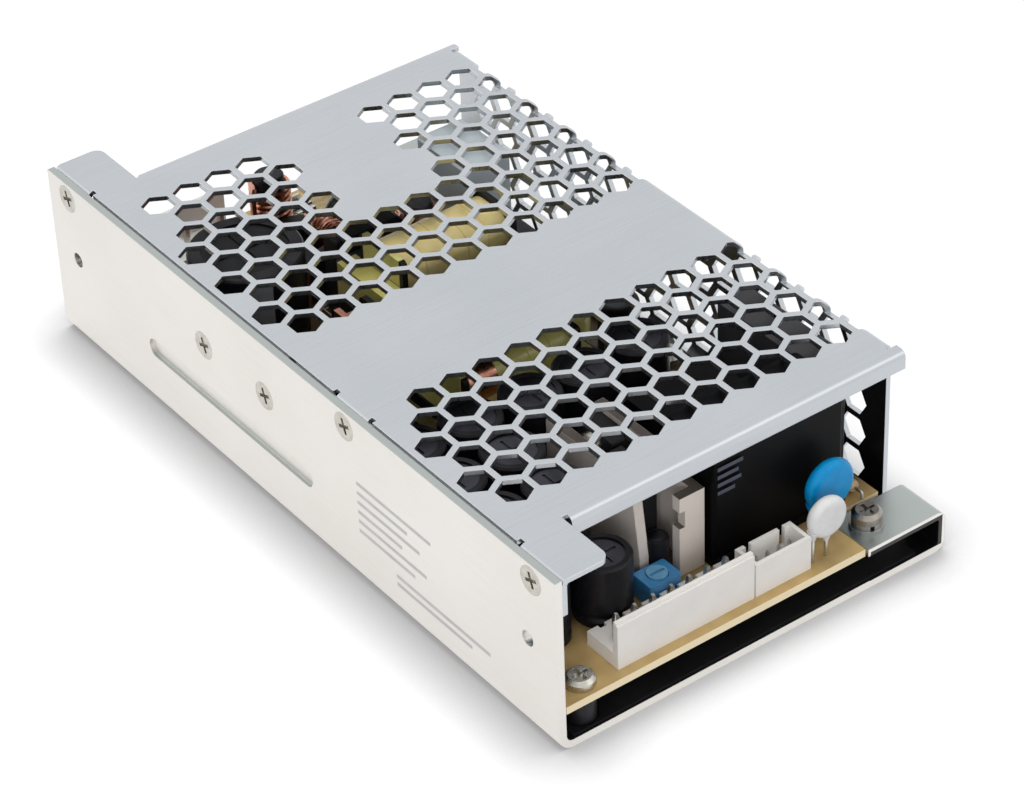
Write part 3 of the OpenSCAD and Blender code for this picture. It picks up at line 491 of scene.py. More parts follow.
# Silicone heat pad: soft grey, dull.
PAD = Finish("cast_silicone_pad", "#A3A6AE", "#92959D", 0.7, 0.0, 3.0, 0.3, 0.015, 0.05)
# Nickel-plated fuse caps.
NICKEL = Finish("nickel_plated_brass", "#CFCBC2", "#B4B0A6", 0.18, 1.0, 1.5, 0.3, 0.003, 0.12)
# Fuse tube glass.
GLASS = ClearGlass("drawn_glass_tube", "#F4F8F8", "#E9F0F0", 0.05, 0.0, 3.0, 0.6, 0.002, 0.02)
# Baked resistor lacquer: light beige, glossy.
LACQUER = Coated("baked_beige_lacquer", "#CDB48A", "#BBA078", 0.36, 0.0, 1.2, 0.4, 0.01, 0.05, 0.5, 0.12)
# Colour rings on the resistors: brown ink.
RING_INK = Coated("printed_brown_ring", "#6A3E26", "#55301C", 0.36, 0.0, 1.0, 0.3, 0.004, 0.02, 0.5, 0.12)
# Plain grey bars in place of words.
LABEL_INK = Finish("printed_grey_bars", "#C6C4C4", "#BAB8B9", 0.45, 0.9, 2.0, 0.25, 0.003, 0.01)
# Blue-grey bars on the relay: painted glints, standing in for light caught on the dark part there.
RELAY_GLINT = Finish("painted_glint_bars", "#474C5C", "#3B4050", 0.55, 0.0, 2.0, 0.25, 0.003, 0.01)

# Finish of every frame node.
NODE_FINISH: dict[str, Finish] = {
    "chassis": CHASSIS, "cover": COVER, "cover_screws": SCREW, "device_screws": SCREW, "device_nuts": NUT,
    "device_pads": PAD, "power_transistors": PACKAGE, "transistor_leads": TIN, "insulating_film": FILM,
    "standoffs": BLACK_STEEL, "circuit_board": BOARD, "board_screws": SCREW, "earth_screw": EARTH, "earth_washer": NUT,
    "lock_washer": NUT, "output_header": NYLON, "output_pins": TIN, "signal_header": NYLON, "signal_pins": TIN,
    "surge_disc": PALE_EPOXY, "blue_disc": BLUE_EPOXY, "disc_leads": TIN, "trimmer_body": BLUE_MOULDING,
    "trimmer_rotor": LIGHT_BLUE, "cap_cans": SHADED_CAN, "cap_sleeves": SLEEVE, "slanted_heatsink": HEATSINK,
    "front_heatsink": HEATSINK, "rectifiers": PACKAGE, "rectifier_screws": SCREW, "relays": RELAY,
    "box_capacitor": DARK_BOX, "transformer_core": FERRITE, "transformer_bobbin": BOBBIN,
    "transformer_winding": TAPE, "choke_core": FERRITE, "choke_bobbin": BOBBIN, "choke_winding": SHADED_TAPE,
    "standby_core": FERRITE, "standby_bobbin": BOBBIN, "standby_winding": SHADED_TAPE, "bulk_can": SHADE_BLACK_CAN,
    "bulk_sleeve": SLEEVE, "line_choke_core": FERRITE, "line_choke_windings": COPPER, "film_capacitor": FILM_BOX,
    "bridge_rectifier": PACKAGE, "fuse_tube": GLASS, "fuse_ends": NICKEL, "fuse_clips": TIN,
    "thermistor": GREEN_EPOXY, "controllers": PACKAGE, "input_header": NYLON, "input_pins": TIN,
}


def node_box(node: str) -> tuple[Vector, Vector]:
    """Returns a frame node's lowest and highest corners in millimetres."""
    low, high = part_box(node)
    return low / METRES, high / METRES


def board_top() -> float:
    """Returns the height of the board's upper face in millimetres."""
    return node_box("circuit_board")[1].z


def rounded(low: Sequence[float], high: Sequence[float], radius: float, steps: int) -> list[tuple[float, float]]:
    """Draws a rectangle with round corners.

    Args:
        low: lowest corner.
        high: highest corner.
        radius: radius of the corners.
        steps: chords in each corner.

    Returns:
        Points around it, anticlockwise.
    """
    near_u, near_v, far_u, far_v = low[0] + radius, low[1] + radius, high[0] - radius, high[1] - radius
    points = []
    for turn, (u, v) in enumerate(((far_u, far_v), (near_u, far_v), (near_u, near_v), (far_u, near_v))):
        for k in range(steps + 1):
            angle = math.radians(90 * turn + 90 * k / steps)
            points.append((u + radius * math.cos(angle), v + radius * math.sin(angle)))
    return points


def upright(inner: Sequence[float], outer: Sequence[float], base: float, top: float) -> list[Vector]:
    """Returns the section of an upright strip, from an inner and an outer point."""
    return [Vector((x, y, z)) for (x, y), z in ((inner, base), (outer, base), (outer, top), (inner, top))]


def folded(edge: float, top: float, down: float, across: float, thick: float) -> list[tuple[float, float]]:
    """Returns the section of a strip folded over an edge, as places across the edge and heights."""
    out, over, inner = edge - thick, top + thick, edge + across
    return [(out, top - down), (out, over), (inner, over), (inner, top), (edge, top), (edge, top - down)]


class Shape:
    """A mesh under construction, in millimetres."""

    def __init__(self) -> None:
        """Starts an empty mesh."""
        self.mesh = bmesh.new()

    def loft(self, rings: Sequence[Sequence[Vector]], closed: bool = False) -> "Shape":
        """Joins rings of points into a skin.

        Args:
            rings: point rings of one length, in order.
            closed: whether the last ring joins the first; otherwise both ends are capped.

        Returns:
            The shape itself.
        """
        rows = [[self.mesh.verts.new(point) for point in ring] for ring in rings]
        pairs = list(zip(rows, rows[1:])) + ([(rows[-1], rows[0])] if closed else [])
        for near, far in pairs:
            for i in range(len(near)):
                j = (i + 1) % len(near)
                self.mesh.faces.new((near[i], near[j], far[j], far[i]))
        if not closed:
            self.mesh.faces.new(rows[0][::-1])
            self.mesh.faces.new(rows[-1])
        return self

    def lathe(self, profile: Sequence[tuple[float, float]], place: Matrix, steps: int = 40) -> "Shape":
        """Turns a profile of (radius, height) about the place's own Z axis.

        Args:
            profile: points from one end to the other, with radii above zero.
            place: where the axis stands.
            steps: points on each ring.

        Returns:
            The shape itself.
        """
        turns = [2 * math.pi * i / steps for i in range(steps)]
        return self.loft([[place @ Vector((r * math.cos(a), r * math.sin(a), h)) for a in turns] for r, h in profile])

    def tube(self, path: Sequence[Vector], radius: float, sides: int = 10, closed: bool = False) -> "Shape":
        """Draws a round wire along a path.

        Args:
            path: points of the centre line.
            radius: wire radius.
            sides: points around the wire.
            closed: whether the path ends where it starts.

        Returns:
            The shape itself.
        """
        count = len(path)
        side = None
        rings = []
        for i, point in enumerate(path):
            before = path[i - 1] if i or closed else point
            after = path[(i + 1) % count] if i + 1 < count or closed else point
            ahead = (after - before).normalized()
            if side is None:
                side = ahead.orthogonal().normalized()
            side = (side - ahead * side.dot(ahead)).normalized()
            up = ahead.cross(side)
            rings.append([point + radius * (math.cos(a) * side + math.sin(a) * up)
                          for a in (2 * math.pi * k / sides for k in range(sides))])
        return self.loft(rings, closed)

    def slab(self, low: Vector, high: Vector, soften: float = 0.0) -> "Shape":
        """Adds a block between two corners, with softened edges.

        Args:
            low: lowest corner.
            high: highest corner.
            soften: edge radius; zero keeps the edges sharp.

        Returns:
            The shape itself.
        """
        middle, size = (low + high) / 2, high - low
        made = bmesh.ops.create_cube(self.mesh, matrix=Matrix.Translation(middle) @ Matrix.Diagonal((*size, 1.0)))
        if soften:
            edges = list({edge for vert in made["verts"] for edge in vert.link_edges})
            bmesh.ops.bevel(self.mesh, geom=edges, offset=soften, segments=2, profile=0.5, affect="EDGES")
        return self

    def piece(self, name: str, finish: Finish, slot: str, body: str = SUPPLY, replaces: Iterable[str] = ()) -> None:
        """Makes the shape a named piece of the scene.

        Args:
            name: name of the piece.
            finish: finish that it wears.
            slot: material slot of the record that it belongs to; not used.
            body: frame body that carries it.
            replaces: frame nodes that it stands for.
        """
        bmesh.ops.scale(self.mesh, vec=(METRES, METRES, METRES), verts=self.mesh.verts)
        bmesh.ops.recalc_face_normals(self.mesh, faces=self.mesh.faces)
        data = bpy.data.meshes.new(name)
        self.mesh.to_mesh(data)
        self.mesh.free()
        data.polygons.foreach_set("use_smooth", [True] * len(data.polygons))
        data.set_sharp_from_angle(angle=SMOOTH_ANGLE)
        data.materials.append(finish.material())
        made = put(name, data)
        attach(made, body)
        if replaces:
            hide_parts(*replaces)
        LOG.info("piece %s: %d faces", name, len(data.polygons))


def dress_frame() -> None:
    """Gives every frame node its finish."""
    for name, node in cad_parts.items():
        finish = NODE_FINISH[name]
        for slot in node.material_slots:
            slot.material = finish.material()
        LOG.info("node %s: %s", name, finish.name)


@dataclass
class SideLabel:
    """The place of the printed label on the left wall, with plain bars only."""

    low_y: float = -63.5
    high_y: float = -19.5
    low_z: float = 5.6
    high_z: float = 25.4
    thick: float = 0.02
    bar_h: float = 0.75
    head: float = 2.4
    pitch: float = 2.1

    # Lengths of the upper bars and where they start, as shares of the place's length.
    UPPER, UPPER_START = (0.50, 0.34, 0.42, 0.30, 0.46, 0.38), 0.05
    # Lengths of the lower bars, with their heights above the lower edge, and where they start.
    LOWER, LOWER_START = ((0.62, 3.6), (0.50, 1.8)), 0.30

    def build(self) -> None:
        """Prints the bars straight on the wall."""
        bars = Shape()
        for row, share in enumerate(self.UPPER):
            self.bar(bars, self.UPPER_START, share, self.high_z - self.head - row * self.pitch)
        for share, lift in self.LOWER:
            self.bar(bars, self.LOWER_START, share, self.low_z + lift)
        bars.piece("label_bars", LABEL_INK, "chassis_sheet")

    def bar(self, shape: Shape, start: float, share: float, z: float) -> None:
        """Adds one bar.

        Args:
            shape: mesh to add to.
            start: where it starts, from the back end, as a share of the place's length.
            share: its length, as a share of the place's length.
            z: height of its upper edge.
        """
        wall, length = node_box("chassis")[0].x, self.high_y - self.low_y
        back = self.high_y - start * length
        shape.slab(Vector((wall - self.thick, back - share * length, z - self.bar_h)), Vector((wall, back, z)))


@dataclass
class SeamBacking:
    """The joggled strip under the cover's edge, which closes the seam beside the left wall."""

    width: float = 1.0
    thick: float = 0.45
    end: float = 65.0
    gap: float = 1.0
    wall_sheet: float = 1.5
    cover_sheet: float = 1.0

    def build(self) -> None:
        """Folds the strip between the wall and the underside of the cover."""
        wall = node_box("chassis")[0].x + self.wall_sheet
        under = node_box("cover")[1].z - self.cover_sheet
        shape = Shape()
        for y0, y1 in ((-self.end, -self.gap), (self.gap, self.end)):
            shape.slab(Vector((wall, y0, under - self.thick)), Vector((wall + self.width, y1, under)), 0.1)
        shape.piece("seam_backing", SEAM, "cover_sheet")


@dataclass
class PinRow:
    """A row of square header pins with tapered tips."""

    node: str
    count: int
    taper: float = 1.1
    tip: float = 0.5

    def build(self) -> None:
        """Builds the row in the place of its frame node."""
        low, high = node_box(self.node)
        width = high.y - low.y
        levels = [(low.z, 1.0), (high.z - self.taper, 1.0), (high.z - self.taper * 0.3, 0.72), (high.z, self.tip)]
        shape = Shape()
        for x, y in self.places():
            shape.loft([self.square(x, y, z, width * share) for z, share in levels])
        shape.piece(f"{self.node}_tapered", TIN, "tinned_pin", replaces=[self.node])

    def places(self) -> list[tuple[float, float]]:
        """Finds the pins.

        Returns:
            The middle of each, across and along the case.
        """
        low, high = node_box(self.node)
        width = high.y - low.y
        step = (high.x - low.x - width) / (self.count - 1)
        return [(low.x + width / 2 + i * step, (low.y + high.y) / 2) for i in range(self.count)]

    @staticmethod
    def square(x: float, y: float, z: float, width: float, corner: float = 0.12) -> list[Vector]:
        """Draws a level square with cut corners.

        Args:
            x: its middle across the case.
            y: its middle along the case.
            z: its height.
            width: length of its sides.
            corner: share of the width that each corner loses.

        Returns:
            Points around it.
        """
        half, inner = width / 2, width / 2 - corner * width
        points = [(half, -inner), (half, inner), (inner, half), (-inner, half),
                  (-half, inner), (-half, -inner), (-inner, -half), (inner, -half)]
        return [Vector((x + dx, y + dy, z)) for dx, dy in points]


PIN_ROWS = (PinRow("output_pins", 7), PinRow("signal_pins", 4, 0.6), PinRow("input_pins", 3))


@dataclass
class Dressing:
    """A piece made on a frame node, with its finish and its slot of the record."""

    node: str
    finish: Finish
    slot: str


@dataclass
class DippedDisc(Dressing):
    """A disc part dipped in epoxy, which runs down its two leads."""

    leads: tuple[float, float] = (-0.75, 0.0)
    run: float = 1.1

    def build(self) -> None:
        """Builds the disc in the place of its frame node."""
        low, high = node_box(self.node)
        shape = Shape()
        self.disc(shape, (low + high) / 2, (high.x - low.x) / 2, high.y - low.y, self.leads, self.run)
        shape.piece(f"{self.node}_dipped", self.finish, self.slot, replaces=[self.node])

    @staticmethod
    def disc(shape: Shape, centre: Vector, radius: float, thick: float, leads: Sequence[float], run: float) -> None:
        """Adds a domed disc that faces along Y, and the run of epoxy on each lead.

        Args:
            shape: mesh to add to.
            centre: middle of the disc.
            radius: outer radius.
            thick: thickness at the middle.
            leads: lead places, as shares of the radius from the middle.
            run: length of the run below the rim.
        """
        rim = thick * 0.46
        arc = [math.radians(a) for a in range(-90, 91, 15)]
        profile = [(0.05, -thick / 2), (radius * 0.45, -thick * 0.49)]
        profile += [(radius - rim + rim * math.cos(a), rim * math.sin(a)) for a in arc]
        profile += [(radius * 0.45, thick * 0.49), (0.05, thick / 2)]
        shape.lathe(profile, Matrix.Translation(centre) @ Matrix.Rotation(math.pi / 2, 4, "X"), 48)
        for share in leads:
            drop = math.sqrt(1 - share * share) * radius
            foot = centre + Vector((share * radius, 0, -drop))
            shape.lathe([(0.45, -run), (0.55, -run * 0.8), (0.72, -run * 0.2), (1.0, 0.5), (1.1, 1.0)],
                        Matrix.Translation(foot), 16)


@dataclass
class TapedWinding(Dressing):
    """A winding wrapped in overlapping strips of tape."""

    strip: float = 5.2
    step: float = 0.14
    corner: float = 4.0

    # Shares of a strip's width and how far the tape is sunk there, past the step at its start.
    LIE = ((0.05, 0.0), (0.5, 0.0), (0.97, 0.03), (0.998, 0.05))

    def build(self) -> None:
        """Builds the wrapped form inside the box of its frame node."""
        low, high = node_box(self.node)
        count = max(2, round((high.x - low.x) / self.strip))
        pitch = (high.x - low.x) / count
        lie = ((0.0, self.step), (0.02, self.step), *self.LIE)
        rings = [self.section(low, high, low.x + i * pitch + share * pitch, sunk)
                 for i in range(count) for share, sunk in lie]
        rings.append(self.section(low, high, high.x, 0.06))
        shape = Shape().loft(rings)
        # The end of the tape lies on top as a flap.
        middle = (low.x + high.x) / 2
        shape.slab(Vector((middle - pitch * 0.46, low.y + (high.y - low.y) * 0.35, high.z - 0.06)),
                   Vector((middle + pitch * 0.46, high.y - self.corner, high.z + 0.05)), 0.02)
        shape.piece(f"{self.node}_taped", self.finish, self.slot, replaces=[self.node])

    def section(self, low: Vector, high: Vector, x: float, sunk: float) -> list[Vector]:
        """Draws a ring around the winding.

        Args:
            low: lowest corner of the winding's box.
            high: highest corner of it.
            x: where the ring stands.
            sunk: how far it lies below the sides of the box.

        Returns:
            Points of the ring.
        """
        radius = min(self.corner, ((high.y - low.y) / 2 - sunk) * 0.6)
        ring = rounded((low.y + sunk, low.z + sunk), (high.y - sunk, high.z - sunk), radius, 8)
        return [Vector((x, y, z)) for y, z in ring]


@dataclass
class CoreTape(Dressing):
    """A strip of tape around the outside of a ferrite core."""

    width: float = 5.0
    thick: float = 0.09
    corner: float = 1.0

    def build(self) -> None:
        """Builds the strip against the sides of its core."""
        low, high = node_box(self.node)
        middle = (low.z + high.z) / 2
        inner, outer = (rounded((low.x - out, low.y - out), (high.x + out, high.y + out), self.corner + out, 6)
                        for out in (0.0, self.thick))
        rings = [upright(near, far, middle - self.width / 2, middle + self.width / 2)
                 for near, far in zip(inner, outer)]
        Shape().loft(rings, closed=True).piece(f"{self.node}_band", self.finish, self.slot)


@dataclass
class TopWrap(Dressing):
    """A wide strip of tape along the top edge of a core, folded down over its front."""

    over: float = 18.0
    down: float = 6.0
    inset: float = 0.4
    thick: float = 0.1

    def build(self) -> None:
        """Folds the strip along the whole core."""
        low, high = node_box(self.node)
        fold = folded(low.y, high.z, self.down, self.over, self.thick)
        ends = (low.x + self.inset, high.x - self.inset)
        shape = Shape().loft([[Vector((x, y, z)) for y, z in fold] for x in ends])
        shape.piece(f"{self.node}_wrap", self.finish, self.slot)


@dataclass
class EndTape(Dressing):
    """A strip folded over the end and the top of a core or of a bobbin's flange."""

    down: float = 6.4
    across: float = 1.2
    inset: float = 1.0
    thick: float = 0.1

    def build(self) -> None:
        """Folds the strip over the end that faces the left wall."""
        low, high = node_box(self.node)
        fold = folded(low.x, high.z, self.down, self.across, self.thick)
        ends = (low.y + self.inset, high.y - self.inset)
        shape = Shape().loft([[Vector((x, y, z)) for x, z in fold] for y in ends])
        shape.piece(f"{self.node}_tape", self.finish, self.slot)


@dataclass
class TapedCoil:
    """A small drum coil wrapped in tape, between the choke and the right wall."""

    x: float = 18.5
    y: float = -3.5
    radius: float = 3.2
    height: float = 12.0

    def build(self) -> None:
        """Builds the wrapped drum, with the end of the tape as a step around it."""
        outer, under, top = self.radius, self.radius - 0.1, self.height
        profile = [(under - 0.4, 0.0), (under, 0.3), (under, top * 0.5), (outer, top * 0.51), (outer, top - 0.8),
                   (outer - 0.25, top - 0.25), (outer - 0.8, top), (0.1, top)]
        shape = Shape().lathe(profile, Matrix.Translation((self.x, self.y, board_top())), 40)
        shape.piece("taped_coil", SHADED_TAPE, "tape_olive")


@dataclass
class FoilBand:
    """A band of copper foil around a taped winding, which holds its stray field."""

    node: str
    start: float
    end: float
    proud: float = 0.08

    def build(self) -> None:
        """Builds the band between two shares of the winding's length."""
        low, high = node_box(self.node)
        wrap = TapedWinding(self.node, COPPER, "copper_enamel")
        first, last = (low.x + share * (high.x - low.x) for share in (self.start, self.end))
        rings = [wrap.section(low, high, x, sunk)
                 for x, sunk in ((first, 0.02), (first, -self.proud), (last, -self.proud), (last, 0.02))]
        Shape().loft(rings).piece(f"{self.node}_foil", COPPER, "copper_enamel")


@dataclass
class LineChoke:
    """Two windings of thick wire on the ring of the common-mode choke."""

    turns: int = 13
    spread: float = 104.0
    wire: float = 0.46
    ring_bore: float = 4.4
    # Turn from the last loop to the wire's foot, in degrees.
    tail: float = 7.0
    # Share of the step between two turns by which each leans.
    lean: float = 0.35

    def build(self) -> None:
        """Winds the wire in the place of the frame's windings."""
        low, high = node_box("line_choke_core")
        centre, floor = (low + high) / 2, board_top()
        outer = (high.x - low.x) / 2 + self.wire
        bore = self.ring_bore - self.wire
        top = (high.z - low.z) / 2 + self.wire
        lean = math.radians(self.spread / (self.turns - 1) * self.lean)
        shape = Shape()
        for side in (0.0, 180.0):
            for i in range(self.turns):
                angle = math.radians(side - self.spread / 2 + self.spread * i / (self.turns - 1))
                shape.tube(self.loop(centre, angle, lean, bore, outer, top), self.wire, 8, closed=True)
        for side in (180.0, 0.0):
            for end in (-1, 1):
                angle = math.radians(side + end * (self.spread / 2 + self.tail))
                foot = centre + Vector((math.cos(angle) * outer, math.sin(angle) * outer, 0))
                levels = (floor, centre.z, centre.z + top * 0.8)
                shape.tube([Vector((foot.x, foot.y, z)) for z in levels], self.wire, 8)
        shape.piece("line_choke_wire", COPPER, "copper_enamel", replaces=["line_choke_windings"])

    @staticmethod
    def loop(centre: Vector, angle: float, lean: float, bore: float, outer: float, top: float) -> list[Vector]:
        """Returns one turn around the ring's section, leaning a little along the ring.

        Args:
            centre: middle of the ring.
            angle: place of the turn on the ring.
            lean: change of angle from the bore to the outside.
            bore: inner reach of the wire's centre line.
            outer: outer reach of it.
            top: half its height.

        Returns:
            Points of the closed turn.
        """
        points, steps = [], 24
        middle, half = (bore + outer) / 2, (outer - bore) / 2
        for k in range(steps):
            t = 2 * math.pi * k / steps
            # A squared circle keeps the turn close to the ring's flat sides.
            c, s = math.cos(t), math.sin(t)
            reach = max(abs(c), abs(s)) ** 0.55
            radius = middle + half * c / reach
            height = top * s / reach
            radius = min(max(radius, bore), outer)
            height = min(max(height, -top), top)
            turn = angle + lean * c
            points.append(centre + Vector((radius * math.cos(turn), radius * math.sin(turn), height)))
        return points


@dataclass
class RodChokes:
    """Coils of copper wire on upright ferrite rods, beside the mains filter."""

    # Middle and height of each.
    PLACES = ((-3.0, 65.0, 17.0), (15.2, 41.5, 15.0))
    radius: float = 4.2
    wire: float = 0.6
    lift: float = 1.2
    steps: int = 20

    def build(self) -> None:
        """Winds every coil and sets its rod."""
        floor = board_top()
        turns, rods = Shape(), Shape()
        rod = self.radius - 2 * self.wire - 0.05
        for x, y, height in self.PLACES:
            turns.tube(self.route(x, y, height, floor), self.wire, 8)
            rods.lathe([(0.1, 0.2), (rod, 0.2), (rod, height - 0.3), (rod - 0.3, height), (0.1, height)],
                       Matrix.Translation((x, y, floor)), 32)
        turns.piece("rod_choke_wire", COPPER, "copper_enamel")
        rods.piece("rod_choke_cores", FERRITE, "ferrite")

    def route(self, x: float, y: float, height: float, floor: float) -> list[Vector]:
        """Returns the wire's path: up from the board, round the rod and down again.

        Args:
            x: middle of the rod across the case.
            y: middle of the rod along the case.
            height: height of the rod.
            floor: top of the board.

        Returns:
            Points along the wire.
        """
        mean, pitch = self.radius - self.wire, 2.1 * self.wire
        count = int((height - self.lift - 1.0) / pitch)
        path = [Vector((x - mean, y, floor))]
        for k in range(count * self.steps + 1):
            turn = k / self.steps
            angle, level = math.pi + math.tau * turn, floor + self.lift + pitch * turn
            path.append(Vector((x + mean * math.cos(angle), y + mean * math.sin(angle), level)))
        out, top = x - self.radius - self.wire - 0.1, path[-1].z
        path += [Vector((x - mean - 0.5, y - 0.9, top + 0.05)), Vector((out, y - 1.5, top - 0.7)),
                 Vector((out, y - 1.6, top - 1.6)), Vector((out, y - 1.6, floor))]
        return path


@dataclass
class CapacitorMarks:
    """Printed stripes along the sleeves of the electrolytic capacitors."""

    spread: float = 26.0
    proud: float = 0.03
    foot: float = 3.6
    head: float = 1.2

    # Where the stripes of each node face, in degrees from +X.
    FACING = {"cap_sleeves": 80.0, "bulk_sleeve": 250.0}

    def build(self) -> None:
        """Builds one stripe on each sleeve."""
        shape = Shape()
        for sleeve, facing in self.FACING.items():
            for centre, radius, base, top in self.cans(sleeve):
                self.stripe(shape, centre, radius, base + self.foot, top - self.head, facing)
        shape.piece("sleeve_stripes", STRIPE, "sleeve_black")

    @staticmethod
    def cans(node: str) -> list[tuple[Vector, float, float, float]]:
        """Finds the sleeves of a frame node.

        Args:
            node: name of the frame node.

        Returns:
            Middle, radius, base and top of each sleeve.
        """
        data = bmesh.new()
        data.from_mesh(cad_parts[node].data)
        bmesh.ops.remove_doubles(data, verts=data.verts, dist=1e-6)
        left, found = set(data.verts), []
        while left:
            stack, group = [left.pop()], []
            while stack:
                vert = stack.pop()
                group.append(vert.co / METRES)
                near = {edge.other_vert(vert) for edge in vert.link_edges} & left
                left -= near
                stack.extend(near)
            low = Vector([min(co[i] for co in group) for i in range(3)])
            high = Vector([max(co[i] for co in group) for i in range(3)])
            found.append(((low + high) / 2, (high.x - low.x) / 2, low.z, high.z))
        data.free()
        return sorted(found, key=lambda can: (round(can[0].x, 2), round(can[0].y, 2)))

    def stripe(self, shape: Shape, centre: Vector, radius: float, base: float, top: float, facing: float) -> None:
        """Adds a thin curved stripe on one sleeve.

        Args:
            shape: mesh to add to.
            centre: middle of the sleeve.
            radius: its radius.
            base: lower end of the stripe.
            top: upper end of it.
            facing: where it faces, in degrees from +X.
        """
        rings, steps = [], 8
        for k in range(steps + 1):
            angle = math.radians(facing - self.spread / 2 + self.spread * k / steps)
            way = Vector((math.cos(angle), math.sin(angle), 0))
            inner, outer = centre + way * (radius - 0.02), centre + way * (radius + self.proud)
            rings.append(upright(inner.xy, outer.xy, base, top))
        shape.loft(rings)


@dataclass
class RelayGlints:
    """Plain bars at the upper corner of the front relay's face, painted as glints of light."""

    start: float = 0.7
    top: float = 3.8
    pitch: float = 1.7
    bar_h: float = 0.8
    thick: float = 0.02

    # Length of each bar, from the top.
    BARS = (5.6, 4.6, 5.2, 3.8)

    def build(self) -> None:
        """Paints the glint bars one below the other."""
        low, high = node_box("relays")
        shape = Shape()
        for row, length in enumerate(self.BARS):
            z = high.z - self.top - row * self.pitch
            shape.slab(Vector((low.x + self.start, low.y - self.thick, z - self.bar_h)),
                       Vector((low.x + self.start + length, low.y, z)))
        shape.piece("relay_glint_bars", RELAY_GLINT, "relay_black")


@dataclass
class SmallCapacitors:
    """Low sleeved capacitors behind the headers and beside the right wall."""

    # The two behind the headers are dark parts set where the board lies in deep shade, and in part stand in for that
    # shade.
    # Middle, radius and height of each.
    PLACES = ((-32.6, -62.3, 4.1, 11.5), (-7.3, -60.3, 2.2, 8.0), (28.5, -4.2, 4.0, 11.0))
    crimp: float = 1.6

    def build(self) -> None:
        """Builds the sleeves, with rolled shoulders, and the can tops."""
        floor = board_top()
        sleeves, tops = Shape(), Shape()
        for x, y, radius, height in self.PLACES:
            place = Matrix.Translation((x, y, floor))
            neck = radius - 0.28
            sleeves.lathe([(radius - 0.3, 0.0), (radius, 0.3), (radius, self.crimp), (neck, self.crimp + 0.35),
                           (neck, self.crimp + 0.75), (radius, self.crimp + 1.1), (radius, height - 0.5),
                           (radius - 0.15, height - 0.14), (radius - 0.5, height), (radius * 0.74, height),
                           (radius * 0.72, height - 0.3)], place, 48)
            tops.lathe([(radius * 0.73, height - 0.32), (radius * 0.72, height - 0.08), (radius * 0.68, height - 0.04),
                        (0.1, height - 0.04)], place, 48)
        sleeves.piece("small_capacitor_sleeves", SLEEVE, "sleeve_black")
        tops.piece("small_capacitor_tops", SHADED_CAN, "can_aluminium")


@dataclass(frozen=True)
class Spot:
    """Place of a small part on the board: its middle and its turn in degrees."""

    x: float
    y: float
    turn: float = 0.0


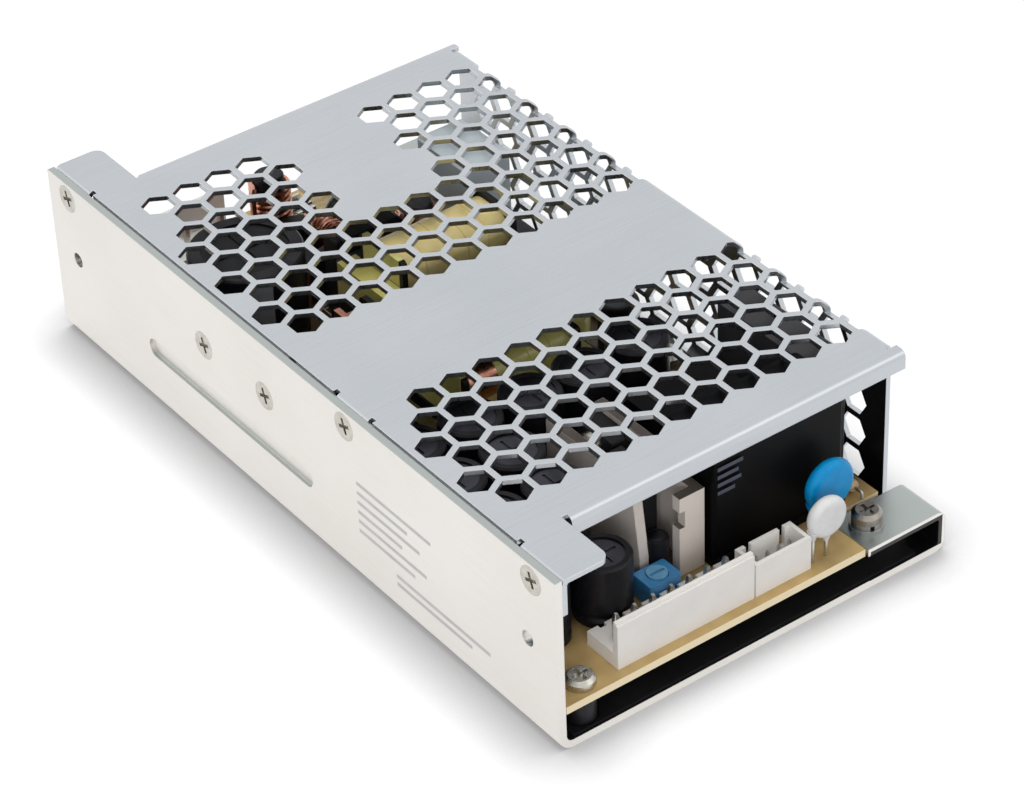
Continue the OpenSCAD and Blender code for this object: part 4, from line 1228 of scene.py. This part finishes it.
@dataclass
class BoardParts:
    """Small wired parts, bare jumpers, printed outlines and solder on the board."""

    lead: float = 0.3
    body: float = 6.3
    body_r: float = 1.2
    waist_r: float = 0.98
    axis_h: float = 1.4
    reach: float = 5.1
    jumper_reach: float = 6.1
    jumper_h: float = 0.55
    disc_r: float = 2.5
    disc_thick: float = 2.0
    disc_lift: float = 4.0
    floor: float = field(default_factory=board_top)

    RESISTORS = (Spot(-39.0, -62.5, 90), Spot(7.4, -68.4), Spot(-17.0, 0.4), Spot(-17.0, 4.0), Spot(0.6, 1.5),
                 Spot(0.6, 5.5), Spot(14.0, 2.0), Spot(33.4, -62.5, 90), Spot(22.0, -10.0, 90),
                 Spot(29.0, -22.0, 90), Spot(31.0, 8.0, 90), Spot(34.4, 8.0, 90), Spot(-26.0, 56.6),
                 Spot(-26.0, 60.4))
    DIODES = (Spot(2.0, 10.0), Spot(16.0, 11.0), Spot(25.5, -26.0, 90), Spot(-20.5, 64.2))
    JUMPERS = (Spot(22.4, -24.6, 90), Spot(3.0, 71.8), Spot(-33.0, 22.0, 90), Spot(15.0, 51.5),
               Spot(-12.0, 27.8, 90), Spot(28.0, 58.0), Spot(32.0, 24.0, 90))
    DISCS = (Spot(17.5, 35.8), Spot(16.0, 47.5), Spot(33.0, 15.6), Spot(-37.6, 48.0), Spot(-14.0, 66.0))
    # Places of the rings along a resistor and along a diode.
    RESISTOR_RINGS, DIODE_RINGS = (-1.1, -0.2, 0.7), (1.9,)
    # Lead places of a disc and of a can, as shares of the radius from the middle.
    DISC_LEADS, CAN_LEADS = (-0.5, 0.5), (-0.42, 0.42)
    # Radius and height of a solder joint, from the board to the tip.
    JOINT = ((1.25, 0.0), (0.95, 0.22), (0.6, 0.75), (0.45, 1.2), (0.3, 1.3))
    OUTLINED = ("choke_core", "transformer_core", "film_capacitor", "input_header", "bridge_rectifier")

    def build(self) -> None:
        """Builds all the small parts."""
        self.wired(self.RESISTORS, "resistor", LACQUER, "tape_yellow", waist=True)
        self.wired(self.DIODES, "diode", PACKAGE, "package_black", waist=False)
        wires = Shape()
        for spot in self.JUMPERS:
            self.wire(wires, spot, self.jumper_reach, self.jumper_h)
        wires.piece("bare_jumpers", TIN, "tinned_wire")
        discs, leads = Shape(), Shape()
        for spot in self.DISCS:
            centre = Vector((spot.x, spot.y, self.floor + self.disc_lift))
            DippedDisc.disc(discs, centre, self.disc_r, self.disc_thick, self.DISC_LEADS, 0.7)
            for share in self.DISC_LEADS:
                foot = centre + Vector((share * self.disc_r, 0, 0))
                leads.tube([Vector((foot.x, foot.y, z)) for z in (self.floor, centre.z - 2.0)], self.lead, 8)
        discs.piece("ceramic_discs", TAN_EPOXY, "tape_yellow")
        leads.piece("ceramic_leads", TIN, "tinned_wire")
        self.outlines()
        self.solder()

    def at(self, spot: Spot) -> Matrix:
        """Returns the placing of a part that lies along X before it is turned."""
        return (Matrix.Translation((spot.x, spot.y, self.floor + self.axis_h))
                @ Matrix.Rotation(math.radians(spot.turn), 4, "Z") @ Matrix.Rotation(math.pi / 2, 4, "Y"))

    def wire(self, shape: Shape, spot: Spot, reach: float, height: float) -> None:
        """Adds a wire that leaves the board, runs level and goes back in.

        Args:
            shape: mesh to add to.
            spot: middle of the wire and its turn.
            reach: half the distance between its feet.
            height: height of its level run.
        """
        turn = Matrix.Translation((spot.x, spot.y, self.floor)) @ Matrix.Rotation(math.radians(spot.turn), 4, "Z")
        bend = min(0.5, height * 0.8)
        points = [(-reach, 0.0), (-reach, height - bend), (-reach + bend * 0.3, height - bend * 0.3),
                  (-reach + bend, height)]
        points += [(-x, z) for x, z in reversed(points)]
        shape.tube([turn @ Vector((x, 0, z)) for x, z in points], self.lead, 8)

    def wired(self, spots: Sequence[Spot], name: str, finish: Finish, slot: str, waist: bool) -> None:
        """Builds a set of lying parts with wire ends and rings.

        Args:
            spots: their places.
            name: name of the kind.
            finish: finish of the bodies.
            slot: material slot of the record.
            waist: whether the body is thicker at its ends.
        """
        bodies, leads, bands = Shape(), Shape(), Shape()
        half, full = self.body / 2, self.body_r
        slim = self.waist_r if waist else full
        ends = [(0.32, -half), (1.0, -half + 0.12), (full, -half + 0.5), (full, -half + 1.0), (slim, -half + 1.6)]
        profile = ends + [(r, -h) for r, h in reversed(ends)]
        places = self.RESISTOR_RINGS if waist else self.DIODE_RINGS
        for spot in spots:
            bodies.lathe(profile, self.at(spot), 20)
            self.wire(leads, spot, self.reach, self.axis_h)
            for place in places:
                ring = [(slim - 0.1, place - 0.28), (slim + 0.02, place - 0.26), (slim + 0.02, place + 0.26),
                        (slim - 0.1, place + 0.28)]
                bands.lathe(ring, self.at(spot), 20)
        bodies.piece(f"{name}_bodies", finish, slot)
        leads.piece(f"{name}_leads", TIN, "tinned_wire")
        bands.piece(f"{name}_rings", RING_INK if waist else STRIPE, slot)

    def outlines(self) -> None:
        """Prints plain outlines around the larger parts."""
        shape, clear = Shape(), 0.7
        for node in self.OUTLINED:
            low, high = node_box(node)
            self.frame_line(shape, low.x - clear, low.y - clear, high.x + clear, high.y + clear)
        shape.piece("board_outlines", INK, "board_laminate")

    def frame_line(self, shape: Shape, x0: float, y0: float, x1: float, y1: float, width: float = 0.2) -> None:
        """Adds four printed lines around a rectangle.

        Args:
            shape: mesh to add to.
            x0: lowest place across the case.
            y0: lowest place along the case.
            x1: highest place across the case.
            y1: highest place along the case.
            width: width of the lines.
        """
        low, high = self.floor, self.floor + 0.02
        for a, b, c, d in ((x0, y0, x1, y0 + width), (x0, y1 - width, x1, y1),
                           (x0, y0 + width, x0 + width, y1 - width), (x1 - width, y0 + width, x1, y1 - width)):
            shape.slab(Vector((a, b, low)), Vector((c, d, high)))

    def solder(self) -> None:
        """Builds the solder cones under the header pins and the capacitors."""
        under = node_box("circuit_board")[0].z
        shape = Shape()
        feet = [place for row in PIN_ROWS for place in row.places()]
        for centre, radius, _, _ in CapacitorMarks.cans("cap_sleeves") + CapacitorMarks.cans("bulk_sleeve"):
            feet += [(centre.x + radius * share, centre.y) for share in self.CAN_LEADS]
        for x, y in feet:
            shape.lathe(self.JOINT, Matrix.Translation((x, y, under)) @ Matrix.Rotation(math.pi, 4, "X"), 14)
        shape.piece("solder_joints", TIN, "tinned_wire")


@dataclass
class Camera:
    """The camera at the photograph's place, worked out from the case's edges."""

    place: tuple[float, float, float] = (-311.5, -446.7, 415.9)
    azimuth: float = -35.43
    elevation: float = 36.92
    roll: float = -2.37
    lens: float = 129.18
    sensor: float = 36.0

    def build(self) -> None:
        """Makes the camera and sets it as the scene's own."""
        a, e, r = (math.radians(v) for v in (self.azimuth, self.elevation, self.roll))
        back = Vector((math.sin(a) * math.cos(e), -math.cos(a) * math.cos(e), math.sin(e)))
        right = Vector((math.cos(a), math.sin(a), 0.0))
        up = back.cross(right)
        tilted_right = math.cos(r) * right + math.sin(r) * up
        tilted_up = math.cos(r) * up - math.sin(r) * right
        data = bpy.data.cameras.new("camera")
        data.lens, data.sensor_width, data.sensor_fit = self.lens, self.sensor, "HORIZONTAL"
        data.clip_start, data.clip_end = 0.01, 20.0
        made = put("camera", data)
        turn = Matrix((tilted_right, tilted_up, back)).transposed().to_4x4()
        made.matrix_world = Matrix.Translation(Vector(self.place) * METRES) @ turn
        bpy.context.scene.camera = made


@dataclass(frozen=True)
class SoftBox:
    """A square studio light that faces the object."""

    name: str
    place: tuple[float, float, float]
    size: float
    power: float
    tint: str = "#FFFFFF"
    in_metal: bool = False

    def build(self) -> None:
        """Hangs the light, turns it to the object and shows it to matt surfaces or to metal."""
        data = bpy.data.lights.new(self.name, "AREA")
        data.shape, data.size, data.energy = "SQUARE", self.size, self.power
        data.color = linear(self.tint)[:3]
        made = put(self.name, data)
        place = Vector(self.place)
        made.matrix_world = Matrix.Translation(place) @ place.to_track_quat("Z", "Y").to_matrix().to_4x4()
        # Bright metal shows the plain surround and faint panels, so from no side does a lamp burn out in it.
        made.visible_glossy, made.visible_diffuse = self.in_metal, not self.in_metal


@dataclass
class Studio:
    """Pale floor, white surround and soft lights."""

    floor_half: float = 6.0
    floor_tint: str = "#B4B4B6"
    ambient: float = 0.6
    lift: float = 0.6
    # How far from the object, in millimetres, its painted contact shadow starts.
    contact: float = 12.0
    boxes: tuple[SoftBox, ...] = (
        SoftBox("key_light", (0.06, 0.16, 0.98), 0.5, 3.8, "#FFFDF9"),
        SoftBox("front_light", (-0.5, -0.8, 0.36), 0.5, 2.7, "#FFFFFF"),
        SoftBox("bend_panel", (0.46, -0.6, 0.65), 0.5, 0.5, in_metal=True),
        SoftBox("edge_panel", (-0.6, 0.65, 0.46), 0.5, 0.4, in_metal=True),
    )

    def build(self) -> None:
        """Sets the floor, the surround and the lights."""
        self.surround()
        self.floor()
        for box in self.boxes:
            box.build()
        bpy.context.scene.view_settings.view_transform = "Standard"

    @staticmethod
    def seen(tree: Tree) -> Socket:
        """Tells rays from the camera, mirrors and glass from the rest.

        Args:
            tree: node tree of the material or the world.

        Returns:
            An output that is 1 for those rays and 0 for others.
        """
        rays = add(tree, "ShaderNodeLightPath").outputs
        direct = maths(tree, "MAXIMUM", rays["Is Camera Ray"], rays["Is Glossy Ray"])
        return maths(tree, "MAXIMUM", direct, rays["Is Transmission Ray"])

    def surround(self) -> None:
        """Makes the surround white to the eye and a plain fill light to the object."""
        world = bpy.data.worlds.new("studio_surround")
        bpy.context.scene.world = world
        tree = bare_tree(world)
        level = ramp(tree, self.seen(tree), 0.0, 1.0, self.ambient, 1.0)
        sky = add(tree, "ShaderNodeBackground", {"Color": WHITE, "Strength": level})
        add(tree, "ShaderNodeOutputWorld", {"Surface": sky.outputs[0]})

    def floor(self) -> None:
        """Lays a pale floor that keeps the object's shadow, paints a contact shadow beside it and meets the white
        surround.
        """
        paint = bpy.data.materials.new("matt_white_floor")
        tree = bare_tree(paint)
        matt = add(tree, "ShaderNodeBsdfDiffuse", {"Color": linear(self.floor_tint)})
        # To the eye the lift fades by ambient occlusion where the object stands close: a painted contact shadow, which
        # reflections don't show.
        near = add(tree, "ShaderNodeAmbientOcclusion", {"Distance": self.contact * METRES}, samples=8)
        eye = add(tree, "ShaderNodeLightPath").outputs["Is Camera Ray"]
        deep = maths(tree, "POWER", near.outputs["AO"], maths(tree, "MULTIPLY", eye, 2.0))
        glow = ramp(tree, maths(tree, "MULTIPLY", deep, self.seen(tree)), 0.0, 1.0, 0.0, self.lift)
        lift = add(tree, "ShaderNodeEmission", {"Color": WHITE, "Strength": glow})
        both = add(tree, "ShaderNodeAddShader", {0: matt.outputs[0], 1: lift.outputs[0]})
        add(tree, "ShaderNodeOutputMaterial", {"Surface": both.outputs[0]})
        half = self.floor_half
        data = bpy.data.meshes.new("floor")
        data.from_pydata([(-half, -half, 0), (half, -half, 0), (half, half, 0), (-half, half, 0)], [], [(0, 1, 2, 3)])
        data.materials.append(paint)
        made = put("floor", data)


def main() -> None:
    """Builds the camera, the studio and every piece."""
    logging.basicConfig(level=logging.INFO, format="%(name)s: %(message)s")
    Camera().build()
    Studio().build()
    dress_frame()
    # The olive tape is the yellow tape with painted shade.
    yellow, olive, copper = (TAPE, "tape_yellow"), (SHADED_TAPE, "tape_olive"), (COPPER, "copper_enamel")
    builders: list[Builder] = [
        SideLabel(), SeamBacking(), *PIN_ROWS,
        DippedDisc("blue_disc", BLUE_EPOXY, "disc_blue"),
        DippedDisc("surge_disc", PALE_EPOXY, "disc_pale"),
        DippedDisc("thermistor", GREEN_EPOXY, "disc_green"),
        TapedWinding("transformer_winding", *yellow),
        TapedWinding("choke_winding", *olive), TapedWinding("standby_winding", *olive),
        CoreTape("transformer_core", *yellow), CoreTape("choke_core", *yellow, 4.0), CoreTape("standby_core", *copper),
        TopWrap("choke_core", *olive), TapedCoil(),
        EndTape("choke_bobbin", *olive), EndTape("transformer_bobbin", *olive, 5.7),
        EndTape("transformer_core", *olive, 4.0, 4.2), EndTape("standby_bobbin", *copper, 5.7),
        FoilBand("choke_winding", 0.04, 0.3), FoilBand("standby_winding", 0.1, 0.55),
        LineChoke(), RodChokes(), CapacitorMarks(), RelayGlints(), SmallCapacitors(), BoardParts(),
    ]
    for builder in builders:
        builder.build()


if __name__ == "__main__":
    main()
